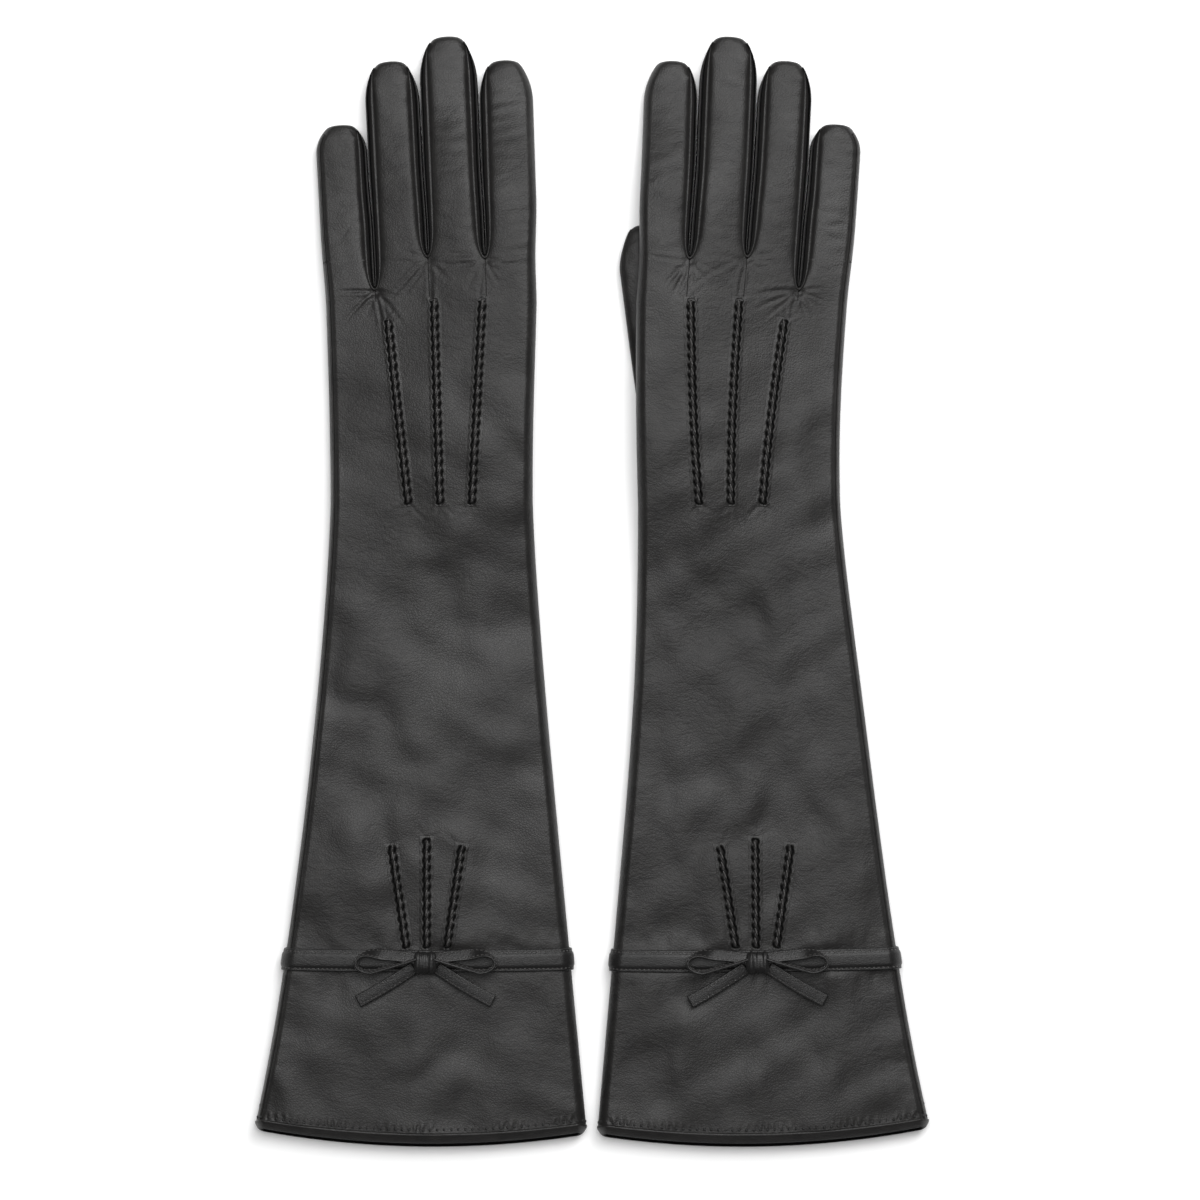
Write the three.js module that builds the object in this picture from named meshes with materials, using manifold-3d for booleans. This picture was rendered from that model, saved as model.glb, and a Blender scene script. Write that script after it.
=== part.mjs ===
// A pair of elbow-length dress gloves in soft leather, lying palm down side by side.
// Millimetres, +Z up. Fingers point along +Y and the left-hand glove lies at -X.
// Each glove is built once, hem at y = 0 and centre line at x = 0, little finger at -X.
import * as THREE from 'three';
import { LoftGeometry } from 'three/addons/geometries/LoftGeometry.js';
import { mergeVertices } from 'three/addons/utils/BufferGeometryUtils.js';
import Module from 'manifold-3d';

const wasm = await Module();
wasm.setup();
const { Manifold, Mesh: SolidMesh } = wasm;

// ---- Driving dimensions -----------------------------------------------------
const gloveLength = 461;          // hem to middle fingertip
const handLength = 208;           // wrist bend to middle fingertip
const hemWidth = 138.7;
const wristWidth = 84;
const flareStart = 15;            // narrowest place, beyond the wrist bend
const flarePower = 1.35;
const hemSkew = 4.8;              // the hem lies this far towards the little finger side
const knuckleSkew = 0.6;          // and the knuckles this far
const pairGap = 3.5;              // between the two hems
const rightGloveTurn = 0.5;       // degrees, the right-hand glove lies a little askew

const leather = 1.2;
const liningCloth = 0.6;
const clearance = 0.3;            // between pieces that touch
const liningClearance = 0.7;      // the lining hangs loose inside the leather
const jointGap = 0.4;             // between the faces of a bend
const gloveThickness = 12;        // a glove laid flat

const hemBow = 6.5;               // the hem's middle hangs lower than its corners
const hemBowReach = 70;
const mouthRake = 2.5;            // the palm side is longer than the back at the hem
const bindingWidth = 4;
const bindingBulge = 0.5;
const bindingInset = 1.9;

const strapHeight = 78.4;         // strap's middle above the hem
const strapWidth = 9.5;
const strapThickness = 1.4;
const strapSettle = 10;           // the sleeve rises over the strap within this length

const thumbLength = 76;           // middle of the thumb hole to thumb tip
const thumbWidth = 21;
const thumbThickness = 7.6;
const thumbRootX = 31;            // middle of the thumb hole
const thumbRootRise = 55;         // and its height above the wrist bend
const thumbHoleRadius = 8.5;
const thumbAngleLeft = -2.5;      // degrees, tucked right under the palm
const thumbAngleRight = 9.4;      // degrees, tip showing beside the index finger

const bowKnotWidth = 9.5;
const bowKnotHeight = 10.5;
const bowKnotThickness = 6.4;
const bowLoopLength = 25;
const bowLoopWidth = 8.6;
const bowStripWidth = 4.6;
const bowStripThickness = 1.3;
const bowTailLength = 27;
const bowTailWidth = 5.4;
const bowX = -2.4;

const pointWidth = 3.4;
const pointHeight = 1.1;
const pointClearance = 0.9;

const blackNappa = 0x454443;
const blackTrim = 0x343433;
const liningBlack = 0x202022;

// Each finger: how far its base lies behind the knuckle line, its length, its width and its lean
// in degrees, the radius of its tip, and the neighbours it has a fourchette towards.
const fingers = {
  little: { back: 13.5, length: 69, width: 20.2, lean: 3.1, tip: 12, open: ['index'] },
  ring: { back: 6.5, length: 88.5, width: 21.2, lean: 2.9, tip: 18, open: ['little', 'index'] },
  middle: { back: 0, length: 92.3, width: 22.6, lean: 2.5, tip: 20, open: ['little', 'index'] },
  index: { back: 0, length: 82.4, width: 20.2, lean: 2.0, tip: 18, open: ['little'] },
};
const webWidth = 1;               // between two fingers' bases
const fingerGap = 0.4;
const fingerBaseHeight = 11.6;
const fingerTipHeight = 9;
const fingerTipPower = 2.4;
const fourchetteTop = 4.2;        // seam to the back strip, above the finger's mid-height
const fourchetteBottom = -2.4;    // seam to the palm strip
const fourchetteEnd = 15;         // from the fingertip

// ---- Places that follow from them -------------------------------------------
const wristY = gloveLength - handLength;
const knuckleY = gloveLength - fingers.middle.length;
const knuckleWidth = Object.values(fingers).reduce((sum, finger) => sum + finger.width + webWidth, -webWidth);
const narrowY = wristY + flareStart;
const palmStart = wristY + 5;
const thumbRoot = new THREE.Vector2(thumbRootX, wristY + thumbRootRise);
const palmRaised = thumbRoot.y - thumbWidth / 2 - 3.5;
const palmLowering = thumbRoot.y + thumbLength + 10;
const palmLowered = palmLowering + 38;
const thumbLift = thumbThickness + jointGap;
const pairSpacing = hemWidth - 2 * hemSkew + pairGap;
const liftInner = thumbRoot.x - 19;
const liftOuter = liftInner - 42;
const sleeveStart = mouthRake + bindingWidth + 2 * clearance;
const strapRise = strapThickness + clearance;

let fingerEdge = -knuckleWidth / 2 - knuckleSkew;
for (const finger of Object.values(fingers)) {
  finger.x = fingerEdge + finger.width / 2;
  fingerEdge += finger.width + webWidth;
}

// Rows of raised stitching: the middle row's two ends, the spacing at each end and how much
// shorter the outer rows are.
const handPoints = {
  top: new THREE.Vector2(1.2, knuckleY - 18.5), bottom: new THREE.Vector2(3.6, wristY + 14.5),
  topSpacing: 20, bottomSpacing: 13.2, shorter: [8.7, 0, 0], names: ['little', 'middle', 'index'],
};
const cuffPoints = {
  top: new THREE.Vector2(-2, strapHeight + 49), bottom: new THREE.Vector2(-2, strapHeight + 5.5),
  topSpacing: 14.9, bottomSpacing: 8.5, shorter: [2.9, 0, 2.9], names: ['outer', 'middle', 'inner'],
};

// ---- Helpers ----------------------------------------------------------------
const clamp01 = (t) => Math.min(Math.max(t, 0), 1);
const ramp = (t) => clamp01(t) * clamp01(t) * (3 - 2 * clamp01(t));

// Half the width of the flat glove and its middle, at a height y above the hem.
function halfWidth(y) {
  const flare = clamp01((narrowY - y) / narrowY) ** flarePower;
  const spread = clamp01((y - narrowY) / (knuckleY - narrowY)) ** 3;
  return (wristWidth + (hemWidth - wristWidth) * flare + (knuckleWidth - wristWidth) * spread) / 2;
}

function middleX(y) {
  const spread = clamp01((y - narrowY) / (knuckleY - narrowY));
  return -hemSkew * clamp01((narrowY - y) / narrowY) ** 3 - knuckleSkew * spread;
}

// How far the glove's underside stands off the table: over the strap and over the hem's binding.
function underside(y) {
  const strapPlateau = strapWidth / 2 + 1;
  const overStrap = strapRise * clamp01((strapPlateau + strapSettle - Math.abs(y - strapHeight)) / strapSettle);
  const overBinding = bindingBulge * clamp01((30 - y) / 10);
  return Math.max(overStrap, overBinding);
}

// The palm and the fingers' bases lie on top of the folded-in thumb.
function lift(x, y) {
  const across = ramp((x - liftOuter) / (liftInner - liftOuter));
  const along = clamp01((y - palmStart) / (palmRaised - palmStart));
  const beyond = clamp01((palmLowered - y) / (palmLowered - palmLowering));
  return thumbLift * across * Math.min(along, beyond);
}

// A flat ring with round edges, counter-clockwise seen from the fingertips, in the XZ plane.
function flatRing(y, half, bottom, top, across, around = 3) {
  const radius = (top - bottom) / 2;
  const reach = Math.max(half - radius, 0.05);
  const points = [];
  for (const side of [1, -1]) {
    for (let i = 0; i < across; i++) {
      const x = side * reach * (1 - 2 * i / across);
      points.push(new THREE.Vector3(x, y, side > 0 ? top : bottom));
    }
    for (let i = 0; i < around; i++) {
      const angle = Math.PI * i / around;
      const x = -side * (reach + radius * Math.sin(angle));
      points.push(new THREE.Vector3(x, y, (top + bottom) / 2 + side * radius * Math.cos(angle)));
    }
  }
  return points.reverse();
}

// A closed loft through rings, as a manifold solid.
function loft(rings) {
  return solidOf(new LoftGeometry(rings, { capStart: true, capEnd: true }));
}

// A closed geometry as a manifold solid, its shared vertices merged.
function solidOf(geometry) {
  const bare = new THREE.BufferGeometry();
  bare.setAttribute('position', geometry.getAttribute('position'));
  bare.setIndex(geometry.getIndex());
  const merged = mergeVertices(bare, 1e-4);
  return new Manifold(new SolidMesh({
    numProp: 3,
    vertProperties: new Float32Array(merged.attributes.position.array),
    triVerts: new Uint32Array(merged.index.array),
  }));
}

function addMesh(group, name, solid, color, roughness) {
  const { vertProperties, triVerts } = solid.getMesh();
  const geometry = new THREE.BufferGeometry();
  geometry.setAttribute('position', new THREE.BufferAttribute(new Float32Array(vertProperties), 3));
  geometry.setIndex(new THREE.BufferAttribute(new Uint32Array(triVerts), 1));
  geometry.computeVertexNormals();
  const mesh = new THREE.Mesh(geometry, new THREE.MeshStandardMaterial({ color, roughness, metalness: 0 }));
  mesh.name = name;
  group.add(mesh);
}

// The glove's outline at a height, grown or shrunk by an offset from its leather's outer face. The
// hem curves: its middle hangs lower than its corners and its palm side lower than its back.
function outline(y, offset, raised) {
  const across = raised ? 10 : 6;
  const face = flatRing(y, halfWidth(y), underside(y), gloveThickness, across);
  const ring = flatRing(y, halfWidth(y) + offset, underside(y) - offset, gloveThickness + offset, across);
  const fade = clamp01(1 - y / hemBowReach) ** 2;
  for (const [k, point] of ring.entries()) {
    const edge = point.x / halfWidth(y);
    point.x += middleX(y);
    point.y += fade * (hemBow * edge * edge - mouthRake * clamp01(1 - point.z / gloveThickness));
    point.z += raised ? lift(face[k].x + middleX(y), y) : 0;
  }
  return ring;
}

// A wall between an outer and an inner set of rings, open at both ends: its profile, out along the
// inner rings and back along the outer ones, is carried once round the glove.
function wall(outerRings, innerRings) {
  const profiles = outerRings[0].map((_, k) => [
    ...innerRings.map((ring) => ring[k]),
    ...outerRings.map((ring) => ring[k]).reverse(),
  ]);
  profiles.push(profiles[0]);
  return solidOf(new LoftGeometry(profiles));
}

function gloveWall(heights, outer, inner, raised) {
  return wall(heights.map((y) => outline(y, outer, raised)), heights.map((y) => outline(y, inner, raised)));
}

// ---- Sleeve, lining, binding and strap --------------------------------------
function buildSleeve(group, side) {
  const plateau = strapWidth / 2 + 1;
  const rise = [strapHeight - plateau - strapSettle, strapHeight - plateau];
  const fall = [strapHeight + plateau, strapHeight + plateau + strapSettle];
  const wristEnd = wristY - jointGap / 2;
  const arm = [1 / 3, 2 / 3, 1].map((share) => fall[1] + share * (wristEnd - fall[1]));
  const heights = [sleeveStart, 20, 30, ...rise, ...fall, ...arm];
  addMesh(group, `${side}_sleeve`, gloveWall(heights, 0, -leather, false), blackNappa, 0.5);

  const liningOut = -leather - liningClearance;
  const liningIn = liningOut - liningCloth;
  addMesh(group, `${side}_sleeve_lining`, gloveWall(heights, liningOut, liningIn, false), liningBlack, 0.7);

  const profile = [[0, -0.3], [1, bindingBulge], [3, bindingBulge], [bindingWidth, -0.2]];
  const bindingOuter = profile.map(([up, swell]) => outline(mouthRake + up, swell, false));
  const bindingInner = profile.map(([up]) => outline(mouthRake + up, -bindingInset, false));
  addMesh(group, `${side}_cuff_binding`, wall(bindingOuter, bindingInner), blackTrim, 0.45);

  const strapEdges = [strapHeight - strapWidth / 2, strapHeight + strapWidth / 2];
  const strap = gloveWall(strapEdges, clearance + strapThickness, clearance, false);
  addMesh(group, `${side}_strap`, strap, blackTrim, 0.45);
}

// ---- Bow --------------------------------------------------------------------
// A flat strip from one point to another in the XY plane, between two heights.
function strip(from, to, width, bottom, top) {
  const along = to.clone().sub(from).normalize();
  const across = new THREE.Vector2(-along.y, along.x).multiplyScalar(width / 2);
  const outline = [from.clone().add(across), from.clone().sub(across), to.clone().sub(across), to.clone().add(across)];
  const geometry = new THREE.ExtrudeGeometry(new THREE.Shape(outline), { depth: top - bottom, bevelEnabled: false });
  geometry.translate(0, 0, bottom);
  return solidOf(geometry);
}

// A bow's loop: a strip standing on edge, bent into a teardrop that starts and ends at the knot.
function bowLoop(direction, bottom) {
  const near = bowX + direction * (bowKnotWidth / 2 + clearance);
  const far = near + direction * bowLoopLength;
  const y = strapHeight + 1.2;
  const outline = (inset) => {
    const half = bowLoopWidth / 2 - inset;
    const end = far - direction * inset;
    const start = near + direction * inset * 4;
    const shape = new THREE.Shape();
    shape.moveTo(start, y);
    shape.bezierCurveTo(start + direction * 8, y + half * 0.7, end, y + half * 1.7, end, y);
    shape.bezierCurveTo(end, y - half * 1.7, start + direction * 8, y - half * 0.7, start, y);
    return shape;
  };
  const options = { depth: bowStripWidth, bevelEnabled: false, curveSegments: 8 };
  const outer = new THREE.ExtrudeGeometry(outline(0), options);
  const inner = new THREE.ExtrudeGeometry(outline(bowStripThickness), { ...options, depth: bowStripWidth + 2 });
  outer.translate(0, 0, bottom);
  inner.translate(0, 0, bottom - 1);
  return solidOf(outer).subtract(solidOf(inner));
}

function buildBow(group, side) {
  const strapTop = gloveThickness + clearance + strapThickness;
  const seat = strapTop + clearance;
  const knot = new THREE.CylinderGeometry(bowKnotThickness / 2, bowKnotThickness / 2, bowKnotWidth, 10);
  knot.rotateZ(Math.PI / 2);
  knot.scale(1, bowKnotHeight / bowKnotThickness, 1);
  knot.translate(bowX, strapHeight - 1, seat + bowKnotThickness / 2);
  addMesh(group, `${side}_bow_knot`, solidOf(knot), blackTrim, 0.4);
  for (const [place, direction] of [['outer', -1], ['inner', 1]]) {
    const tailTop = gloveThickness + strapRise + clearance + bowStripThickness;
    const from = new THREE.Vector2(bowX + direction * (bowKnotWidth / 2 + 1), strapHeight - 4);
    const angle = THREE.MathUtils.degToRad(31);
    const reach = new THREE.Vector2(direction * Math.cos(angle), -Math.sin(angle)).multiplyScalar(bowTailLength);
    const tail = strip(from, from.clone().add(reach), bowTailWidth, tailTop - bowStripThickness, tailTop);
    const loop = bowLoop(direction, tailTop + clearance);
    addMesh(group, `${side}_bow_tail_${place}`, tail, blackTrim, 0.45);
    addMesh(group, `${side}_bow_loop_${place}`, loop, blackTrim, 0.45);
  }
}

// ---- Rows of raised stitching -----------------------------------------------
function pointRow(from, to, raised) {
  const steps = 10;
  const rings = [];
  for (let i = 0; i <= steps; i++) {
    const at = from.clone().lerp(to, i / steps);
    const middle = gloveThickness + pointClearance + (raised ? lift(at.x, at.y) : 0);
    const end = i === 0 || i === steps ? 0.6 : 1;
    const half = pointWidth / 2 * end;
    const high = pointHeight * end;
    const corners = [[-half * 0.6, high], [half * 0.6, high], [half, 0], [-half, 0]];
    rings.push(corners.map(([dx, dz]) => new THREE.Vector3(at.x + dx, at.y, middle + dz)));
  }
  return loft(rings);
}

function buildPointRows(group, side, part, rows, raised) {
  for (const [i, name] of rows.names.entries()) {
    const top = new THREE.Vector2(rows.top.x + (i - 1) * rows.topSpacing, rows.top.y);
    const bottom = new THREE.Vector2(rows.bottom.x + (i - 1) * rows.bottomSpacing, rows.bottom.y);
    const from = top.clone().lerp(bottom, rows.shorter[i] / top.distanceTo(bottom));
    addMesh(group, `${side}_${part}_point_${name}`, pointRow(bottom, from, raised), blackTrim, 0.5);
  }
}

// ---- Hand -------------------------------------------------------------------
function buildHand(group, side) {
  const start = wristY + jointGap / 2;
  const palm = [0, 0.35, 0.7, 1].map((share) => palmRaised + share * (knuckleY - palmRaised));
  const heights = [start, palmStart, (palmStart + palmRaised) / 2, ...palm];
  const liningOut = -leather - liningClearance;
  const layers = [
    [`${side}_hand`, 0, -leather, thumbHoleRadius, blackNappa, 0.5],
    [`${side}_hand_lining`, liningOut, liningOut - liningCloth, thumbHoleRadius + clearance, liningBlack, 0.7],
  ];
  for (const [name, outer, inner, holeRadius, color, roughness] of layers) {
    let shell = gloveWall(heights, outer, inner, true);
    for (const finger of Object.values(fingers)) {
      shell = shell.subtract(fingerSpace(finger));
    }
    const hole = new THREE.CylinderGeometry(holeRadius, holeRadius, 8, 16);
    hole.rotateX(Math.PI / 2);
    hole.translate(thumbRoot.x, thumbRoot.y, thumbLift);
    addMesh(group, name, shell.subtract(solidOf(hole)), color, roughness);
  }
}

// The space in front of the hand that a finger fills, with the gap of its bend behind it.
function fingerSpace(finger) {
  const half = finger.width / 2 + fingerGap + 1;
  const corners = [[half, -5], [-half, -5], [-half, 40], [half, 40]];
  const rings = [-jointGap, 30].map((y) => corners.map(([x, z]) => new THREE.Vector3(x, y, z)));
  return loft(placeRings(rings, finger.x, knuckleY - finger.back, finger.lean, false));
}

// ---- Fingers ----------------------------------------------------------------
// A pod lying along +Y, its underside on the table: round at its tip and, where it has one, at its
// heel behind y = 0. An offset grows or shrinks it on every side.
function podRings(length, width, tipRadius, baseHeight, tipHeight, offset, heel) {
  const tipStart = length - tipRadius;
  const stations = [];
  for (const share of heel > 0 ? [1, 0.75] : []) {
    stations.push([-share * (heel + offset), Math.max(1 - share * share, 0.0025) ** 0.5]);
  }
  for (const share of [0, 0.5]) {
    stations.push([share * tipStart, 1]);
  }
  for (const share of [0, 0.5, 0.85, 0.999]) {
    stations.push([tipStart + share * (tipRadius + offset), (1 - share ** fingerTipPower) ** (1 / fingerTipPower)]);
  }
  return stations.map(([y, shrink]) => {
    const height = baseHeight + (tipHeight - baseHeight) * clamp01(y / length);
    const thick = (height / 2 + offset) * Math.min(1, shrink * 1.25);
    const half = Math.max((width / 2 + offset) * shrink, thick);
    return flatRing(y, half, height / 2 - thick, height / 2 + thick, 3);
  });
}

function placeRings(rings, x, y, lean, raised) {
  const turn = THREE.MathUtils.degToRad(lean);
  for (const ring of rings) {
    for (const point of ring) {
      const { x: across, y: along } = point;
      point.x = x + across * Math.cos(turn) - along * Math.sin(turn);
      point.y = y + across * Math.sin(turn) + along * Math.cos(turn);
      point.z += raised ? lift(point.x, point.y) : 0;
    }
  }
  return rings;
}

function buildFinger(group, side, name, finger) {
  const y = knuckleY - finger.back;
  const make = (offset) => {
    const rings = podRings(finger.length, finger.width, finger.tip, fingerBaseHeight, fingerTipHeight, offset, 0);
    const middle = fingerBaseHeight / 2;
    if (offset < 0) {
      const thick = middle + offset;
      rings.unshift(flatRing(-2, finger.width / 2 + offset, middle - thick, middle + thick, 3));
    }
    return loft(placeRings(rings, finger.x, y, finger.lean, true));
  };
  const shell = make(0).subtract(make(-leather));
  let trank = shell;
  for (const neighbour of finger.open) {
    const outward = neighbour === 'index' ? 1 : -1;
    const strip = shell.intersect(fourchetteWindow(finger, y, outward, clearance));
    trank = trank.subtract(fourchetteWindow(finger, y, outward, 0));
    const suffix = finger.open.length > 1 ? `_${neighbour}_side` : '';
    addMesh(group, `${side}_${name}_fourchette${suffix}`, strip, blackTrim, 0.5);
  }
  addMesh(group, `${side}_${name}_finger`, trank, blackNappa, 0.5);
}

// The space beside a finger that its fourchette fills, between its two seams.
function fourchetteWindow(finger, y, outward, inset) {
  const inner = finger.width / 2 - 4.5 + inset;
  const outer = finger.width / 2 + 4;
  const end = finger.length - fourchetteEnd - inset;
  const start = inset > 0 ? 0 : -1;
  const rings = [start, end / 3, 2 * end / 3, end].map((along) => {
    const middle = (fingerBaseHeight + (fingerTipHeight - fingerBaseHeight) * clamp01(along / finger.length)) / 2;
    const low = middle + fourchetteBottom + inset;
    const high = middle + fourchetteTop - inset;
    const sides = outward > 0 ? [inner, outer] : [-outer, -inner];
    const corners = [[sides[0], low], [sides[0], high], [sides[1], high], [sides[1], low]];
    return corners.map(([dx, z]) => new THREE.Vector3(dx, along, z));
  });
  return loft(placeRings(rings, finger.x, y, finger.lean, true));
}

// ---- Thumb ------------------------------------------------------------------
function buildThumb(group, side, angle) {
  const make = (offset) => {
    const heel = thumbWidth / 2;
    const rings = podRings(thumbLength, thumbWidth, 18, thumbThickness, thumbThickness, offset, heel);
    return loft(placeRings(rings, thumbRoot.x, thumbRoot.y, -angle, false));
  };
  const mouth = new THREE.CylinderGeometry(thumbHoleRadius, thumbHoleRadius, thumbThickness, 16);
  mouth.rotateX(Math.PI / 2);
  mouth.translate(thumbRoot.x, thumbRoot.y, thumbThickness);
  const pod = make(0).subtract(make(-leather)).subtract(solidOf(mouth));
  addMesh(group, `${side}_thumb`, pod, blackNappa, 0.5);
}

// ---- The pair ---------------------------------------------------------------
function buildGlove(side, thumbAngle) {
  const glove = new THREE.Group();
  buildSleeve(glove, side);
  buildBow(glove, side);
  buildPointRows(glove, side, 'cuff', cuffPoints, false);
  buildHand(glove, side);
  buildPointRows(glove, side, 'hand', handPoints, true);
  for (const [name, finger] of Object.entries(fingers)) {
    buildFinger(glove, side, name, finger);
  }
  buildThumb(glove, side, thumbAngle);
  return glove;
}

const leftGlove = buildGlove('left', thumbAngleLeft);
leftGlove.position.set(-pairSpacing / 2, 0, 0);

const rightGlove = buildGlove('right', thumbAngleRight);
rightGlove.scale.x = -1;
rightGlove.rotation.z = THREE.MathUtils.degToRad(rightGloveTurn);
rightGlove.position.set(pairSpacing / 2, 0, 0);

const pair = new THREE.Group();
pair.add(leftGlove, rightGlove);

// The origin is the middle of the pair's footprint, on the table.
const footprint = new THREE.Box3().setFromObject(pair);
const centre = footprint.getCenter(new THREE.Vector3());
pair.position.set(-centre.x, -centre.y, -footprint.min.z);

export default pair;
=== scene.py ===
"""A pair of elbow-length dress gloves in black nappa leather, laid palm down side by side.

Lengths in the shape functions are millimetres in the glove's own frame: the hem at y = 0, the
middle at x = 0, the little finger towards -x. place() carries them to the shared frame in metres.
"""

import math

import bpy
import numpy as np
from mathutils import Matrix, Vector


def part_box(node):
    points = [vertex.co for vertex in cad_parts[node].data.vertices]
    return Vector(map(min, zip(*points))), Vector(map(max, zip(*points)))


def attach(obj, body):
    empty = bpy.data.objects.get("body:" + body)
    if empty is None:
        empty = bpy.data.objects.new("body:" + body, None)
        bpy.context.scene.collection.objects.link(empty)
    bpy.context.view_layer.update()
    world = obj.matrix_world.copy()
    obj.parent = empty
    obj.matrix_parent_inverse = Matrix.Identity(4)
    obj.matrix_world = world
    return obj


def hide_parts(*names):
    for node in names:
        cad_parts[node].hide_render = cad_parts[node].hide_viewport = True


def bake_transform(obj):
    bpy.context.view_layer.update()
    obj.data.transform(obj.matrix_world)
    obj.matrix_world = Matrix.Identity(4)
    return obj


bl_info = {
    "name": "Opera gloves",
    "version": (1, 0, 0),
    "blender": (4, 5, 0),
    "location": "3D View > Sidebar > Gloves",
    "description": "Builds the leather, trims, stitching and lining of a pair of long dress gloves",
    "category": "Object",
}

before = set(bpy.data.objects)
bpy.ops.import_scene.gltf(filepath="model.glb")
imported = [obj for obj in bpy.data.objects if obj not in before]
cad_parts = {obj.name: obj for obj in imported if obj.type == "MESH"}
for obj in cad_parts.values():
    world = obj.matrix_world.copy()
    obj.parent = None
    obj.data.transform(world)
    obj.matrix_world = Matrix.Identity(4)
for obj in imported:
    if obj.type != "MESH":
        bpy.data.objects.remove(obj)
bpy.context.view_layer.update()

MM = 0.001
SIDES = ("left", "right")
RIGHT_TURN = math.radians(0.5)  # the right-hand glove lies a little askew
RIGHT_BEND = {"out": 0.9, "in": 4.2, "y": 290.0, "reach": 80.0}  # and a little bent at the wrist

# ---- The glove's own measures, in millimetres ----
KNUCKLE_Y = 368.7
HEM_WIDTH = 138.7
WRIST_WIDTH = 84.0
KNUCKLE_WIDTH = 87.2
NARROW_Y = 268.0
FLARE_POWER = 1.35
HEM_SKEW = 4.8
KNUCKLE_SKEW = 0.6
THICKNESS = 12.0
EDGE_RADIUS = 4.1
EDGE_POWER = 1.26  # above 1, the rounded edge keeps a ridge
HEM_BOW = 6.5
HEM_BOW_REACH = 70.0
HEM_TILT = 1.0
MOUTH_RAKE = 3.7  # the palm side is longer than the back at the hem
BINDING_Y = 2.5
STRAP_Y = 78.4
STRAP_WIDTH = 9.5
STRAP_SINK = 0.2  # how far the strap presses into the leather
BOW_X = -2.4
CUT_Y = 350.4  # where the hand's skin ends and the fingers' skins begin

# Each finger's middle line: its base, length, width, lean, the reach of the tip's taper, and how
# much fuller its shaft is on each side.
FINGER_FIELDS = ("x", "y", "length", "width", "lean", "tip", "fuller")
FINGERS = {
    name: dict(zip(FINGER_FIELDS, values)) for name, values in {
        "little": (-34.1, 355.2, 69.0, 20.2, 3.1, 12.0, (0.7, 0.0)),
        "ring": (-12.4, 362.2, 88.5, 21.2, 2.9, 18.0, (1.7, 0.1)),
        "middle": (10.5, 368.7, 92.3, 22.6, 2.5, 20.0, (1.4, 0.1)),
        "index": (32.9, 368.7, 82.4, 20.2, 2.0, 18.0, (1.2, 1.3)),
    }.items()
}
FINGER_NAMES = list(FINGERS)
WEB = 0.5
GAP_SHIFT = 0.6  # the gaps lie this much nearer the little finger beyond the knuckles
BASE_HEIGHT = 11.6
TIP_HEIGHT = 9.0
TIP_POWER = 2.2  # how late the outline tapers towards the tip
TIP_THICK_POWER = 2.2  # and the thickness, which closes later than the outline
WRIST_BEND = (242.0, 266.0)  # the leather bends between these two lines
KNUCKLE_BEND = (-2.0, 12.0)  # and between these, from each finger's base

# Between two fingers: where the seam turns round the bottom of the gap.
CROTCH_Y = {("little", "ring"): 354.6, ("ring", "middle"): 368.1, ("middle", "index"): 367.5}
SEAM_HALF = 4.15  # seam to the middle of the gap
SEAM_REACH = 9.0  # how soon beyond the bottom of the gap it gets there

THUMB = {"x": 31.0, "y": 308.0, "length": 76.0, "width": 21.0, "thickness": 7.6, "tip": 18.0}
THUMB_ANGLE = {"left": -2.5, "right": 9.4}
THUMB_LIFT = 8.0  # how high the folded-in thumb lifts the palm

# Rows of raised stitching: the middle row's ends, the spacing of the rows at each end, and how
# much shorter each is at the fingers' end.
HAND_ROWS = {
    "top": (1.2, 350.2), "bottom": (3.6, 267.5), "spread": (20.0, 13.2), "shorter": (8.7, 0.0, 0.0),
    "names": ("little", "middle", "index"), "part": "hand",
}
CUFF_ROWS = {
    "top": (-2.0, 127.4), "bottom": (-2.0, 83.9), "spread": (14.9, 8.5), "shorter": (2.9, 0.0, 2.9),
    "names": ("outer", "middle", "inner"), "part": "cuff",
}
CHANNEL_DEPTH = 1.6  # the trough under each row
CHANNEL_HALF = 1.7

TOP_COLUMNS = 41
EDGE_COLUMNS = 12
WALL_COLUMNS = 7
PALM_COLUMNS = 13

# Across a fourchette from the back seam over its rolled edge and down its wall: distance from the
# gap's middle, how far past the seam's bottom the roll turns, how soon it spreads, height below
# the back (or, below zero, above the table).
FOURCHETTE = [
    (4.75, 0.0, 9.0, 1.7), (4.15, 0.0, 9.0, 1.75), (3.7, 0.35, 8.2, 1.3), (3.25, 0.75, 7.2, 0.92),
    (2.85, 1.1, 6.0, 0.84), (2.45, 1.35, 5.2, 1.1), (2.1, 1.6, 4.4, 1.8), (1.85, 1.8, 3.6, 2.9),
    (1.6, 1.9, 3.2, 4.2), (1.2, 2.0, 3.0, 6.0), (0.12, 2.1, 3.0, -4.2), (0.02, 2.1, 3.0, -2.4),
    (0.3, 2.1, 3.0, -0.9), (2.4, 2.1, 5.0, -0.9), (3.6, 1.2, 9.0, 5.0),
]
LIP = {1: 0.28, -1: -0.45}  # near the table one strip reaches under its neighbour: no light through
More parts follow.
